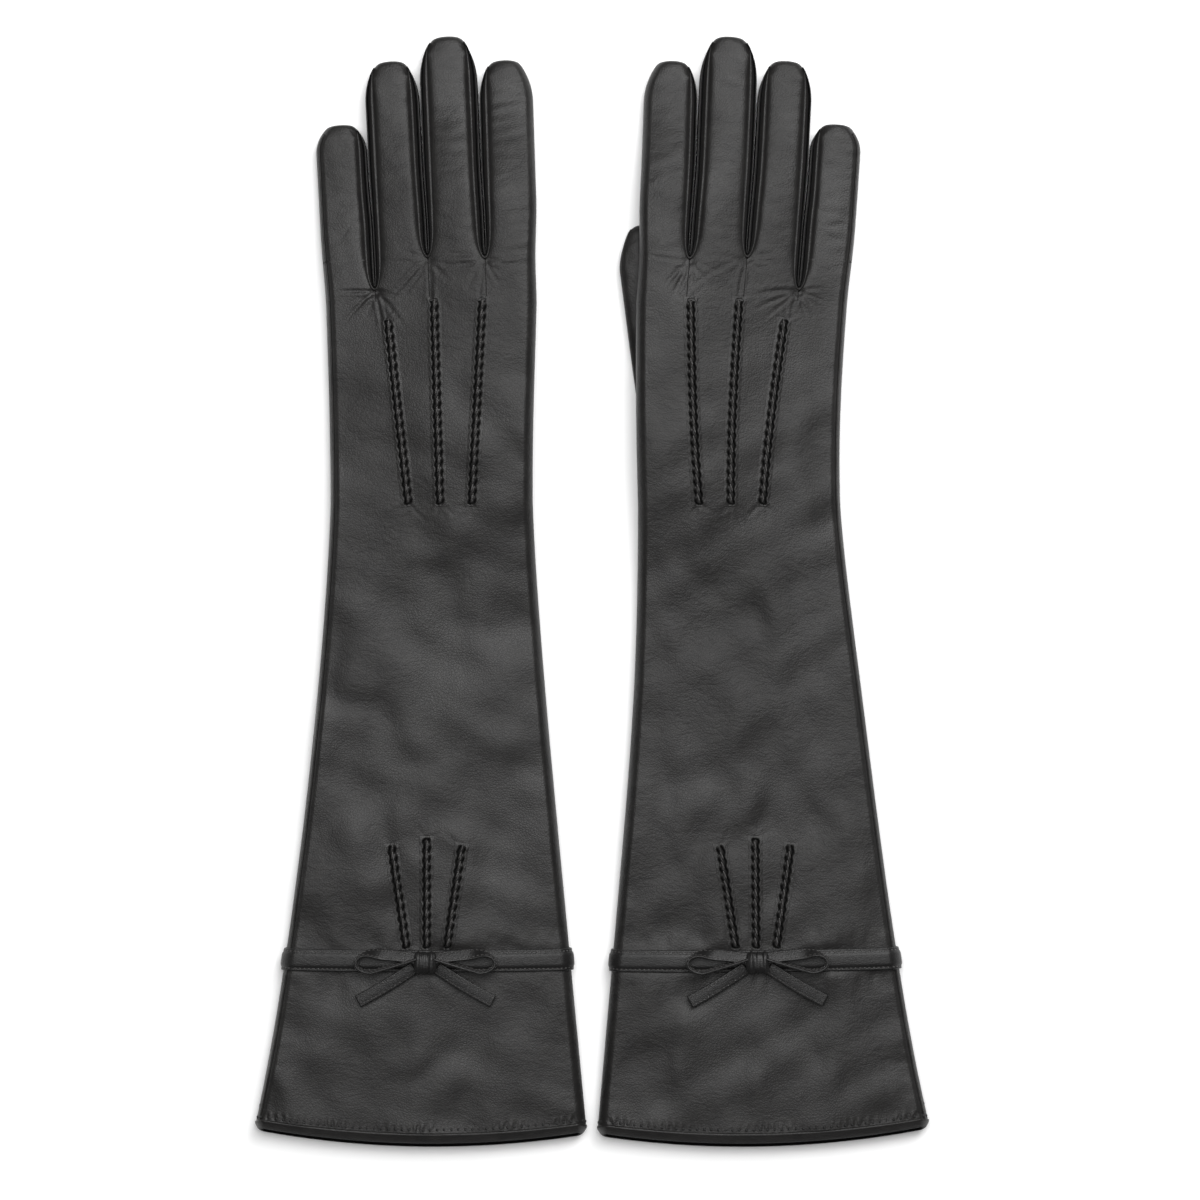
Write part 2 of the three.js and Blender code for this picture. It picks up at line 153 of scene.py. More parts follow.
# Across the hem's binding and the strap: distance along the arm, and height above the leather.
BINDING = [
    (0.0, -2.3), (0.2, -1.6), (1.2, -0.75), (2.3, 0.0), (3.1, 0.45), (3.7, 0.5), (4.1, 0.0),
    (4.1, -0.9), (3.6, -2.2), (0.5, -2.9),
]
HALF_STRAP = STRAP_WIDTH / 2
STRAP = [
    (-HALF_STRAP, 0.5), (-HALF_STRAP, 1.1), (-HALF_STRAP + 0.5, 1.6), (-HALF_STRAP + 1.25, 0.9),
    (-HALF_STRAP + 2.1, 1.8), (0.0, 1.85), (HALF_STRAP - 2.1, 1.8), (HALF_STRAP - 1.25, 0.9),
    (HALF_STRAP - 0.5, 1.6), (HALF_STRAP, 1.1), (HALF_STRAP, 0.5), (HALF_STRAP - 0.5, 0.25),
    (0, 0.2), (-HALF_STRAP + 0.5, 0.25),
]

# Each leather: name, colour, worn colour, roughness, share of the grain, and the size and strength of its
# creases; the fold leather goes on the pieces that carry painted shade in their folds and grooves. Each
# thread: name, its colour, the colour of its painted highlight bands, and roughness.
LEATHERS = {
    "nappa": ("black nappa leather", "leather", "leather_worn", 0.46, 1.0, 0.0044, 0.13),
    "trim": ("black nappa trim", "trim", "leather", 0.40, 0.8, 0.004, 0.08),
    "fold": ("black nappa with painted fold shade", "leather", "leather_worn", 0.42, 0.8, 0.004, 0.1),
}
THREADS = {
    "thread": ("waxed black thread", "thread", "thread_light", 0.34),
    "trim_thread": ("dull black thread", "trim_thread", "thread", 0.6),
}
# Painted shade: points that a piece marks as deep in a fold or groove get this near-black colour, with
# little shine, in place of real shade.
PAINTED_SHADE_COLOUR = "#020202"  # deep folds and grooves see almost no light
WORLD_STRENGTH = 0.12
LAMPS = (  # name, place in metres, width, power
    ("key", (0.6, 0.9, 1.4), 1.0, 22.0),
    ("top", (-0.2, 0.5, 2.9), 2.8, 56.0),
    ("over", (-0.06, 0.26, 1.2), 0.45, 3.6),
)
FLOOR_REACH, FLOOR_DROP = 4.0, 0.0004
CAMERA_LENS, CAMERA_SENSOR = 150.0, 36.0
CAMERA_MIDDLE = (0.0033, -0.0033)

CLOSED, OPEN, TIP_CLOSED = (True, True), (False, False), (False, True)


# ---- Small helpers ----
def linear(colour):
    """An sRGB hex colour as linear RGBA."""
    parts = [int(colour[i:i + 2], 16) / 255 for i in (1, 3, 5)]
    return [c / 12.92 if c <= 0.04045 else ((c + 0.055) / 1.055) ** 2.4 for c in parts] + [1.0]


def smooth(t):
    """0 before t = 0, 1 after t = 1, and a smooth step in between."""
    t = np.clip(t, 0, 1)
    return t * t * (3 - 2 * t)


def signed_power(values, power):
    """Values raised to a power, their signs kept."""
    return np.sign(values) * np.abs(values) ** power


def unit(vectors):
    """Each vector at length 1."""
    return vectors / np.linalg.norm(vectors, axis=-1, keepdims=True)


def steps_along(path):
    """The distance along a polyline to each of its points."""
    return np.concatenate([[0], np.cumsum(np.linalg.norm(np.diff(path, axis=0), axis=1))])


def circle(count):
    """Angles once round, in count steps."""
    return np.linspace(0, 2 * np.pi, count, endpoint=False)


def waves(x, y, wavelength, seed, count=14):
    """A smooth random field about 1 high: a sum of plane waves near one wavelength, with seeded
    directions and phases."""
    rng = np.random.default_rng(seed)
    turn = rng.uniform(0, 2 * np.pi, count)
    pitch = 2 * np.pi / (wavelength * rng.uniform(0.7, 1.5, count))
    phase = rng.uniform(0, 2 * np.pi, count)
    total = np.zeros(np.broadcast(x, y).shape)
    for a, k, p in zip(turn, pitch, phase):
        total += np.cos(k * (x * np.cos(a) + y * np.sin(a)) + p)
    return total / math.sqrt(count / 2)


def half_width(y):
    """Half the flat glove's width: wrist width, plus a power-curve flare to the hem and a cubic
    spread to the knuckles."""
    flare = np.clip((NARROW_Y - y) / NARROW_Y, 0, 1) ** FLARE_POWER
    spread = np.clip((y - NARROW_Y) / (KNUCKLE_Y - NARROW_Y), 0, 1) ** 3
    more = (HEM_WIDTH - WRIST_WIDTH) * flare
    return (WRIST_WIDTH + more + (KNUCKLE_WIDTH - WRIST_WIDTH) * spread) / 2


def middle_x(y):
    """The flat glove's middle line: skewed towards the little finger at the hem and knuckles."""
    spread = np.clip((y - NARROW_Y) / (KNUCKLE_Y - NARROW_Y), 0, 1)
    return -HEM_SKEW * np.clip((NARROW_Y - y) / NARROW_Y, 0, 1) ** 3 - KNUCKLE_SKEW * spread


def across_share(x, y):
    """How far across the flat glove a point lies: -1 and 1 at its edges."""
    return (x - middle_x(y)) / half_width(y)


def lift(x, y):
    """How far the folded-in thumb lifts the palm: a smooth step across, ramps along."""
    along = np.minimum(smooth((y - 215) / 84), smooth((438 - y) / 46))
    return THUMB_LIFT * smooth((x + 42) / 72) * along


def origin(side):
    """The glove's own origin in the shared frame, from its strap's place."""
    low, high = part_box(f"{side}_strap")
    middle = np.array([(low.x + high.x) / 2, (low.y + high.y) / 2]) / MM
    x = middle_x(STRAP_Y)
    if side == "left":
        return middle - np.array([x, STRAP_Y])
    c, s = math.cos(RIGHT_TURN), math.sin(RIGHT_TURN)
    return middle - np.array([-x * c - STRAP_Y * s, -x * s + STRAP_Y * c])


ORIGINS = {side: origin(side) for side in SIDES}


def place(side, points):
    """Glove millimetres to frame metres; the right-hand glove is mirrored, bent and turned."""
    out = np.array(points, float)
    if side == "right":
        beyond = (out[..., 1] - RIGHT_BEND["y"]) / RIGHT_BEND["reach"]
        bend = RIGHT_BEND["in"] * np.exp(-beyond ** 2)
        out[..., 0] += bend - RIGHT_BEND["out"] * smooth(out[..., 1] / 400)
        c, s = math.cos(RIGHT_TURN), math.sin(RIGHT_TURN)
        x, y = -out[..., 0], out[..., 1].copy()
        out[..., 0] = x * c - y * s
        out[..., 1] = x * s + y * c
    out[..., 0] += ORIGINS[side][0]
    out[..., 1] += ORIGINS[side][1]
    return out * MM


def grid_quads(rows, columns):
    """The quads of a rows x columns grid of vertices, its last column joined to its first."""
    row = np.arange(rows - 1)[:, None] * columns
    here = np.arange(columns)[None, :]
    after = (here + 1) % columns
    quads = np.stack([row + here, row + after, row + columns + after, row + columns + here], -1)
    return quads.reshape(-1, 4)


def volume(vertices, quads):
    """Six times the volume inside quads, positive where they face outwards."""
    middle = vertices.mean(0)
    a, b, c, d = (vertices[quads[:, i]] - middle for i in range(4))
    return np.sum(np.cross(a, b) * c) + np.sum(np.cross(a, c) * d)


def build_piece(name, side, grids, caps, kind):
    """One mesh from grids of points, each closed round. caps says whether each grid's first and
    last rows are closed by a fan to their middle."""
    vertices, faces, count = [], [], 0
    for points in grids:
        placed = place(side, points)
        rows, columns = placed.shape[:2]
        flat = placed.reshape(-1, 3)
        quads = grid_quads(rows, columns)
        fan = np.zeros((0, 4), int)
        for cap, row in zip(caps, (0, rows - 1)):
            if cap:
                here = row * columns + np.arange(columns)
                after = np.roll(here, -1)
                pair = (after, here) if row == 0 else (here, after)
                centre = np.full(columns, len(flat))
                fan = np.vstack([fan, np.stack([*pair, centre, centre], -1)])
                flat = np.vstack([flat, placed[row].mean(0)])
        if volume(flat, np.vstack([quads, fan])) < 0:
            quads, fan = quads[:, ::-1], fan[:, [1, 0, 2, 3]]
        vertices.append(flat)
        faces += (quads + count).tolist() + (fan[:, :3] + count).tolist()
        count += len(flat)
    mesh = bpy.data.meshes.new(name)
    mesh.from_pydata(np.vstack(vertices), [], faces)
    mesh.polygons.foreach_set("use_smooth", [True] * len(mesh.polygons))
    mesh.validate()
    mesh.materials.append(finish_of(kind))
    piece = bpy.data.objects.new(name, mesh)
    bpy.context.scene.collection.objects.link(piece)
    return piece


def shade(piece, depth):
    """Stores on each point how much painted shade it gets: how deep it lies in a fold or groove, which the
    material paints near black in place of real shade.
    """
    values = np.zeros(len(piece.data.vertices), np.float32)
    values[:depth.size] = depth.ravel()
    piece.data.attributes.new("painted_shade_amount", "FLOAT", "POINT").data.foreach_set("value", values)


# ---- Relief: how the leather's face stands off its smooth shape ----
def crease(x, y, at, angle, length, width, bend):
    """One crease: a valley with a low ridge on each side, along an arc that leaves a point."""
    dx, dy = x - at[0], y - at[1]
    along = dx * np.cos(angle) + dy * np.sin(angle)
    across = -dx * np.sin(angle) + dy * np.cos(angle) - bend * along ** 2
    fade = smooth(along / length * 6) * smooth((length - along) / length * 1.6)
    valley = -np.exp(-(across / width) ** 2)
    ridge = 0.55 * np.exp(-((np.abs(across) - 1.9 * width) / width) ** 2)
    return fade * (valley + ridge)


def row_ends(rows, index):
    """The two ends of one row of raised stitching: near the hem, near the fingers."""
    top = np.array(rows["top"]) + [(index - 1) * rows["spread"][0], 0]
    bottom = np.array(rows["bottom"]) + [(index - 1) * rows["spread"][1], 0]
    top = top + (bottom - top) * rows["shorter"][index] / np.linalg.norm(top - bottom)
    return bottom, top


def row_line(rows, index):
    """A row's end near the hem, its length, its direction, and the direction across it."""
    start, end = row_ends(rows, index)
    length = np.linalg.norm(end - start)
    way = (end - start) / length
    return start, length, way, np.array([way[1], -way[0]])


def row_channel(x, y):
    """The shallow trough that holds each row's tucked leather, as a depth."""
    depth = np.zeros(np.broadcast(x, y).shape)
    for rows in (HAND_ROWS, CUFF_ROWS):
        for index in range(3):
            start, length, way, _ = row_line(rows, index)
            along = (x - start[0]) * way[0] + (y - start[1]) * way[1]
            across = (x - start[0]) * way[1] - (y - start[1]) * way[0]
            past = np.maximum(np.maximum(-along, along - length), 0)
            near = np.exp(-((across ** 2 + (past * 1.6) ** 2) / CHANNEL_HALF ** 2) ** 2)
            depth = np.maximum(depth, near)
    return CHANNEL_DEPTH * depth


def gap_point(pair, y):
    """The middle line between two fingers, at height y: x."""
    a, b = FINGERS[pair[0]], FINGERS[pair[1]]
    tilt = math.tan(math.radians((a["lean"] + b["lean"]) / 2))
    edge = a["x"] + a["width"] / 2 + WEB
    return edge - (y - (a["y"] + b["y"]) / 2) * tilt


def relief(x, y, side):
    """Undulations, swirling creases, puckers along the edges and creases that radiate from the
    gaps between the fingers and from the ends of the rows, in millimetres."""
    seed = 11 if side == "left" else 57
    sizes = bpy.context.scene.glove_sizes
    warp_x = x + 5 * waves(x, y, 38, seed + 1)
    warp_y = y + 5 * waves(x, y, 33, seed + 2)
    calm = 1 - 0.45 * smooth((y - 290) / 40)
    hills = waves(warp_x, warp_y * 0.8, 44, seed + 3) + 0.45 * waves(x, y, 21, seed + 4)
    swell = calm * sizes.undulation / MM * hills
    field = waves(warp_x, warp_y * 1.5, 7.5, seed + 5, 20)
    where = smooth((waves(x, y, 46, seed + 6) + 0.5) / 1.6)
    arm = smooth((y - 92) / 30) * smooth((300 - y) / 45)
    depth = sizes.crease_depth / MM
    swirl = -depth * np.exp(-(field / 0.16) ** 2) * where * (0.35 + 0.65 * arm)
    fine = waves(warp_x * 0.8, warp_y * 2.2, 3.4, seed + 7, 20)
    ripple = 0.12 * depth * fine * (0.3 + 0.7 * smooth((waves(x, y, 30, seed + 8) + 0.2) / 1.5))
    edge = np.abs(across_share(x, y))
    pucker = 0.5 * depth * waves(x * 0.25, y, 5.5, seed + 9) * smooth((edge - 0.78) / 0.2)
    total = swell + swirl + ripple + pucker
    rng = np.random.default_rng(seed + 10)
    for pair, crotch in CROTCH_Y.items():
        at = (gap_point(pair, crotch), crotch)
        dip = np.exp(-(((x - at[0]) / 2.6) ** 2 + ((y - at[1] + 0.4) / 2.0) ** 2))
        total -= 0.9 * dip
        for angle in (172, 196, 222, 250, 287, 318, 343, 8):
            turn = math.radians(angle + rng.uniform(-9, 9))
            reach = rng.uniform(10, 25)
            total += rng.uniform(0.13, 0.34) * crease(
                x, y, at, turn, reach, rng.uniform(0.7, 1.1), rng.uniform(-0.012, 0.012))
    for rows in (HAND_ROWS, CUFF_ROWS):
        for index in range(3):
            start, end = row_ends(rows, index)
            for at, first in ((end, 35), (start, 215)):
                if rows is CUFF_ROWS and at is start:
                    continue
                for k in range(4):
                    turn = math.radians(first + 32 * k + rng.uniform(-12, 12))
                    total += rng.uniform(0.06, 0.15) * crease(
                        x, y, at, turn, rng.uniform(6, 14), rng.uniform(0.7, 1.1),
                        rng.uniform(-0.02, 0.02))
    pinch = np.exp(-((y - STRAP_Y) / 5.2) ** 4)
    total = total * (1 - 0.9 * pinch) - 0.35 * pinch
    beside_strap = np.exp(-((np.abs(y - STRAP_Y) - 8) / 4) ** 2)
    total += 0.12 * depth / 0.1 * waves(x, y * 0.35, 6.5, seed + 12) * beside_strap
    beside_hem = np.exp(-((y - 6.5 - 2.2) / 1.7) ** 2)
    total += 0.26 * np.cos(2 * np.pi * x / 3.0 + waves(x, y, 20, seed + 13)) * beside_hem
    return total


# ---- The fingers' frames ----
def finger_to_glove(finger, across, along):
    """A point beside a finger's middle line to glove x, y: a turn by its lean about its base."""
    lean = math.radians(finger["lean"])
    c, s = math.cos(lean), math.sin(lean)
    return finger["x"] + across * c - along * s, finger["y"] + across * s + along * c


def gap_sides(name):
    """The gap on a finger's -x side and on its +x side, or None at the glove's own edge."""
    i = FINGER_NAMES.index(name)
    left = (FINGER_NAMES[i - 1], name) if i > 0 else None
    right = (name, FINGER_NAMES[i + 1]) if i < 3 else None
    return left, right


def gap_on(name, way):
    """The gap on one side of a finger, or None."""
    return gap_sides(name)[0 if way < 0 else 1]


def gap_across(name, pair, along):
    """How far beside the finger's middle line the middle of a gap lies: where the two lines cross."""
    finger = FINGERS[name]
    a, b = FINGERS[pair[0]], FINGERS[pair[1]]
    lean = math.radians(finger["lean"])
    c, s = math.cos(lean), math.sin(lean)
    tilt = math.tan(math.radians((a["lean"] + b["lean"]) / 2))
    beyond = smooth((finger["y"] + along * c - 380) / 30)
    edge = a["x"] + a["width"] / 2 + WEB - GAP_SHIFT * beyond
    middle = (a["y"] + b["y"]) / 2
    beside = edge - finger["x"] + along * s - (finger["y"] + along * c - middle) * tilt
    return beside / (c + s * tilt)


def crotch_along(name, pair):
    """The bottom of a gap, along the finger's middle line."""
    finger = FINGERS[name]
    lean = math.radians(finger["lean"])
    along = CROTCH_Y[pair] - finger["y"]
    for _ in range(4):
        rise = gap_across(name, pair, along) * math.sin(lean)
        along = (CROTCH_Y[pair] - finger["y"] - rise) / math.cos(lean)
    return along


def tip_shrink(finger, along):
    """The outline's share of full width near the tip: it tapers as a power curve to half, then a
    steep root rounds the corners of the blunt end."""
    share = np.clip((along - finger["length"] + finger["tip"]) / finger["tip"], 0, 1)
    return (1 - 0.54 * share ** TIP_POWER) * np.sqrt(1 - share ** 30)


def tip_thick(finger, along):
    """The thickness's share of full near the tip: it follows the outline, but closes later."""
    return 1 - (1 - tip_shrink(finger, along)) ** TIP_THICK_POWER


def finger_edge(name, way, along):
    """Half-width of a finger on one side: the gap's middle line near its base, its own half-width
    further on, shrinking round the tip."""
    finger = FINGERS[name]
    pair = gap_on(name, way)
    own = finger["width"] / 2 + finger["fuller"][0 if way < 0 else 1] * smooth((along + 5) / 30)
    if pair is None:
        reach = own
    else:
        line = way * gap_across(name, pair, along)
        own = np.minimum(own, line - 0.05)
        reach = line + (own - line) * smooth((along - finger["length"] + 45) / 30)
    return reach * tip_shrink(finger, along)


def seam_inset(name, way, along):
    """How far inside the finger's edge the seam of its back strip runs: rising as the root of a
    tanh from the bottom of the gap and closing before the tip."""
    pair = gap_on(name, way)
    if pair is None:
        return np.zeros(np.shape(along))
    rise = np.sqrt(np.tanh(np.maximum(along - crotch_along(name, pair), 0) / SEAM_REACH))
    return SEAM_HALF * rise * strip_share(name, way, along)


def strip_share(name, way, along):
    """The fourchette's share of its full width: whole along the shaft, then narrowing as the
    finger's outline closes on the back strip's straight seam."""
    edge = finger_edge(name, way, along)
    full = finger_edge(name, way, np.full(np.shape(along), FINGERS[name]["length"] * 0.55))
    left_over = edge - np.minimum(full - SEAM_HALF, edge * 0.96)
    return np.clip(left_over / SEAM_HALF, 0, 1)


def round_edge(count, power=EDGE_POWER):
    """The rounded side edge in count steps from back to palm: how far out, and how high, both as
    shares. It's a half circle at power 1, and keeps a soft ridge above that."""
    q = np.pi * np.arange(1, count + 1) / (count + 1)
    return np.sin(q) ** power, (1 + signed_power(np.cos(q), power)) / 2


def back_height(x, y, side):
    """The back of the arm and hand above the table, without its channel: thickness, a slight
    crown, the thumb's lift and the relief."""
    edge = np.abs(across_share(x, y))
    crown = 0.5 * (1 - np.clip(edge, 0, 1) ** 2) - 0.25
    return THICKNESS + crown + lift(x, y) + relief(x, y, side) * smooth((1.02 - edge) / 0.05 + 0.4)


def finger_height(finger, along):
    """A finger's thickness, which falls from its base to its tip."""
    share = np.clip(along / finger["length"], 0, 1)
    return BASE_HEIGHT + (TIP_HEIGHT - BASE_HEIGHT) * share


def ring_heights(back, low, right_level, left_level, sink):
    """Heights round a ring: the back, down the right edge, the palm, and up the left edge. sink
    is how far below the back each edge starts."""
    r, l = len(right_level), len(left_level)
    right = low[:, :r] + (back[:, -1:] - sink[1] - low[:, :r]) * right_level
    left = low[:, -l:] + (back[:, :1] - sink[-1] - low[:, -l:]) * left_level[::-1]
    return np.concatenate([back, right, low[:, r:-l], left], 1)


def spread_columns(count):
    """-1 to 1, closer together towards both ends."""
    t = np.linspace(-1, 1, count)
    return 0.55 * t + 0.45 * np.sin(t * np.pi / 2)


def finger_rows(finger):
    """Places along a finger: close together at its base and round its tip."""
    length = finger["length"]
    start = CUT_Y - finger["y"]
    base = np.arange(start, 12, 0.4)
    shaft = np.arange(12, length - finger["tip"], 0.75)
    tip = length - finger["tip"] + finger["tip"] * np.sin(np.linspace(0, 1, 34) * np.pi / 2)
    return np.concatenate([base, shaft, tip[:-1]])


def finger_skin(name, side):
    """A finger's back strip, sides and palm strip: rings across the finger. Each ring runs over
    the crowned back from seam to seam, down a side that bulges, and back along the palm. At its
    base it bends into the hand's own back."""
    finger = FINGERS[name]
    rows = finger_rows(finger)
    start = rows[0]
    edge = {way: finger_edge(name, way, rows) for way in (-1, 1)}
    inset = {way: seam_inset(name, way, rows) for way in (-1, 1)}
    tip_round = smooth((rows - finger["length"] + 13) / 10)
    thick = tip_thick(finger, rows)
    limit, reach, out, level = {}, {}, {}, {}
    for way, pair in zip((-1, 1), gap_sides(name)):
        if pair is None:
            radius = (EDGE_RADIUS - 0.6 * smooth((rows - start) / 30)) * thick
            out[way], level[way] = round_edge(EDGE_COLUMNS)
            bulge = 1.0
        else:
            radius = np.maximum(inset[way], 3.2 * tip_round * thick)
            out[way], level[way] = round_edge(WALL_COLUMNS, 1)
            bulge = 0.45 + 0.55 * tip_round
        radius = np.minimum(radius, edge[way])
        limit[way] = (edge[way] - radius)[:, None]
        reach[way] = (radius * bulge)[:, None]
    fraction = spread_columns(TOP_COLUMNS)
    palm = np.linspace(1, -1, PALM_COLUMNS)
    top_across, palm_across = (np.where(t < 0, t * limit[-1], t * limit[1]) for t in (fraction, palm))
    right = limit[1] + reach[1] * out[1]
    left = -limit[-1] - reach[-1] * out[-1][::-1]
    across = np.concatenate([top_across, right, palm_across, left], 1)
    # Rows at the base are level with the hand's last row.
    lean = math.radians(finger["lean"])
    first = (CUT_Y - finger["y"] - across[0] * math.sin(lean)) / math.cos(lean)
    settle = smooth((rows[:, None] - start) / 9)
    along = rows[:, None] + (1 - settle) * (first - start)[None, :]
    x, y = finger_to_glove(finger, across, along)
    top_x, top_y = x[:, :TOP_COLUMNS], y[:, :TOP_COLUMNS]
    middle = finger_height(finger, rows)[:, None] / 2
    thick = thick[:, None]
    seamed = {way: (inset[way] / SEAM_HALF)[:, None] for way in (-1, 1)}
    roll = np.where(fraction < 0, seamed[-1], seamed[1])
    share = np.abs(fraction)[None, :]
    crown = 0.5 * (1 - share ** 2) - 0.95 * roll * share ** 9
    creases = finger_creases(finger, top_across, along[:, :TOP_COLUMNS], name, side)
    own_back = middle + middle * thick + crown * thick + creases + lift(top_x, top_y)
    own_back = own_back + relief(top_x, top_y, side) * 0.55
    hand_back = back_height(top_x, top_y, side)
    top = hand_back + (own_back - hand_back) * smooth((top_y - CUT_Y) / 22)
    low = middle - middle * thick + 0.1 + lift(x[:, TOP_COLUMNS:], y[:, TOP_COLUMNS:])
    sink = {way: 0.9 * seamed[way] for way in (-1, 1)}
    return np.stack([x, y, ring_heights(top, low, level[1], level[-1], sink)], -1)


def finger_creases(finger, across, along, name, side):
    """Creases across a finger at its two bends: narrow valleys along slightly bowed lines."""
    rng = np.random.default_rng(sum(map(ord, name + side)))
    total = 0.05 * waves(across * 0.5, along, 6.0, int(rng.integers(1000)))
    for share, amount in ((0.34, 0.10), (0.4, 0.13), (0.46, 0.08), (0.66, 0.09), (0.71, 0.07)):
        middle = share * finger["length"] + rng.uniform(-1.5, 1.5)
        bow = 0.02 * across ** 2 * rng.uniform(-1, 1)
        line = along - middle - bow - 0.9 * waves(across, 0 * along, 9, int(rng.integers(1000)))
        mask = smooth((waves(across, along * 0.2, 13, int(rng.integers(1000))) + 0.6) / 1.5)
        total -= amount * np.exp(-(line / 0.7) ** 2) * mask
    return total


# ---- Arm and hand ----
def hand_columns(side):
    """Where the hand's columns end: the fingers' first rows put side by side. Gives the back's x,
    and the palm's x, each from one edge radius inside the glove's edges."""
    tops, palms = [], []
    for name in FINGER_NAMES:
        row = finger_skin(name, side)[0]
        pair = gap_sides(name)
        right_count = EDGE_COLUMNS if pair[1] is None else WALL_COLUMNS
        tops.append(row[:TOP_COLUMNS, 0][(0 if name == "little" else 1):])
        palm = row[TOP_COLUMNS + right_count:TOP_COLUMNS + right_count + PALM_COLUMNS, 0]
        palms.insert(0, palm[(0 if name == "index" else 1):])
    return np.concatenate(tops), np.concatenate(palms)


def trank_ring(y, top_x, palm_x, side):
    """The arm and hand's rings: the back between the two round edges, down the edges, and the
    palm; the back and palm columns keep their share of the width all the way."""
    y = y[:, None]
    fit = smooth((y - CUT_Y + 80) / 80)
    cut = np.full((1, 1), CUT_Y)
    ends = []
    for way, at_cut in ((-1, top_x[0]), (1, top_x[-1])):
        own, own_cut = (middle_x(at) + way * half_width(at) - way * EDGE_RADIUS for at in (y, cut))
        ends.append(own + fit * (at_cut - own_cut))
    left, right = ends
    share_top = (top_x - top_x[0]) / (top_x[-1] - top_x[0])
    share_palm = (palm_x - palm_x[-1]) / (palm_x[0] - palm_x[-1])
    out, level = round_edge(EDGE_COLUMNS)
    top = left + (right - left) * share_top
    palm = left + (right - left) * share_palm
    x = np.concatenate([top, right + EDGE_RADIUS * out, palm, left - EDGE_RADIUS * out[::-1]], 1)
    ys = np.broadcast_to(y, x.shape)
    n, e, p = len(top_x), EDGE_COLUMNS, len(palm_x)
    back = back_height(top, ys[:, :n], side) - row_channel(top, ys[:, :n])
    low = underside(ys[:, n:]) + lift(x[:, n:], ys[:, n:]) + 0.1
    palm_ys = ys[:, n + e:n + e + p]
    swell = 0.25 * (1.9 + waves(palm, palm_ys, 26, 5))
    low[:, e:e + p] += swell * smooth((palm_ys - 90) / 10)
    return np.stack([x, ys, ring_heights(back, low, level, level, (0, 0))], -1)


def underside(y):
    """How far the glove's underside stands off the table over the strap and the binding."""
    over_strap = 1.7 * np.clip((STRAP_WIDTH / 2 + 11 - np.abs(y - STRAP_Y)) / 10, 0, 1)
    return np.maximum(over_strap, 0.5 * np.clip((30 - y) / 10, 0, 1))


def bow_hem(points):
    """Bends the rings near the hem: its middle hangs lower than its corners, its palm side lower
    than its back."""
    out = points.copy()
    y = points[..., 1]
    fade = np.clip(1 - y / HEM_BOW_REACH, 0, 1) ** 2
    edge = across_share(points[..., 0], y)
    rake = MOUTH_RAKE * np.clip(1 - points[..., 2] / THICKNESS, 0, 1)
    out[..., 1] += fade * (HEM_BOW * edge ** 2 - HEM_TILT * edge - rake)
    return out


def flat_ring(y, offset, top_count=60, edge_count=10):
    """A plain ring round the flat glove at heights y, grown by an offset from its outer face."""
    y = np.atleast_1d(np.asarray(y, float))[:, None]
    offset = np.atleast_1d(np.asarray(offset, float))[:, None]
    radius = EDGE_RADIUS + offset
    reach = half_width(y) - EDGE_RADIUS
    base = underside(y)
    centre = (THICKNESS + base) / 2
    tall = (THICKNESS - base) / 2 + offset
    t = np.linspace(-1, 1, top_count)
    out, level = round_edge(edge_count)
    x = np.concatenate([reach * t, reach + radius * out, -reach * t, -reach - radius * out], 1)
    crown = (0.5 * (1 - t ** 2) - 0.25)[None, :]
    palm = np.broadcast_to(centre - tall, (len(y), top_count))
    z = np.concatenate([
        centre + tall + crown, centre + tall * (2 * level - 1) - 0.25 * level,
        palm, centre - tall * (2 * level - 1) - 0.25 * (1 - level),
    ], 1)
    return np.stack([x + middle_x(y), np.broadcast_to(y, x.shape), z], -1)


def smooth_loop(profile, count):
    """A closed outline through a few corner points, rounded: linear steps averaged twice."""
    closed = np.array([*profile, profile[0]], float)
    step = steps_along(closed)
    t = np.linspace(0, step[-1], count, endpoint=False)
    loop = np.stack([np.interp(t, step, closed[:, i]) for i in range(closed.shape[1])], -1)
    for _ in range(2):
        loop = (np.roll(loop, 1, 0) + 2 * loop + np.roll(loop, -1, 0)) / 4
    return loop


def stitches(places, ways, normals, length, width, height):
    """Short thread stitches: each a capsule, an ellipse swept along its own line with its ends
    rounded, sunk a little into the leather. Gives one grid for each."""
    t = np.array([-1, -0.92, -0.6, 0, 0.6, 0.92, 1])
    swell = np.sqrt(np.clip(1 - np.abs(t) ** 3, 0.02, 1))[None, :, None, None]
    angle = (np.arange(6) * np.pi / 3)[None, None, :, None]
    dip = (-0.5 * height * t ** 2)[None, :, None]
    centre = places[:, None, :] + ways[:, None, :] * (t * length / 2)[None, :, None]
    centre = centre + normals[:, None, :] * dip
    across = np.cross(normals, ways)[:, None, None, :] * (np.cos(angle) * swell * width / 2)
    up = normals[:, None, None, :] * (np.sin(angle) * swell * height / 2)
    return centre[:, :, None, :] + (across + up)


def walk(path, pitch):
    """Evenly spaced places along a polyline, with its direction there."""
    step = steps_along(path)
    s = np.arange(0.5 * pitch, step[-1], pitch)
    at, ahead, behind = (
        np.stack([np.interp(s + shift * pitch, step, path[:, i]) for i in range(3)], -1)
        for shift in (0, 0.05, -0.05)
    )
    return at, unit(ahead - behind)


def tube_along(path, normals, shape):
    """A closed profile carried along a path: each profile point is so far across and so far up."""
    way = unit(np.gradient(path, axis=0))
    across = unit(np.cross(way, normals))
    up = np.cross(across, way)
    points = path[:, None, :] + across[:, None, :] * shape[..., 0, None]
    return points + up[:, None, :] * shape[..., 1, None]


def round_profile(radius):
    """A round cord's profile."""
    turn = circle(8)
    return np.stack([radius * np.cos(turn), radius * np.sin(turn)], -1)


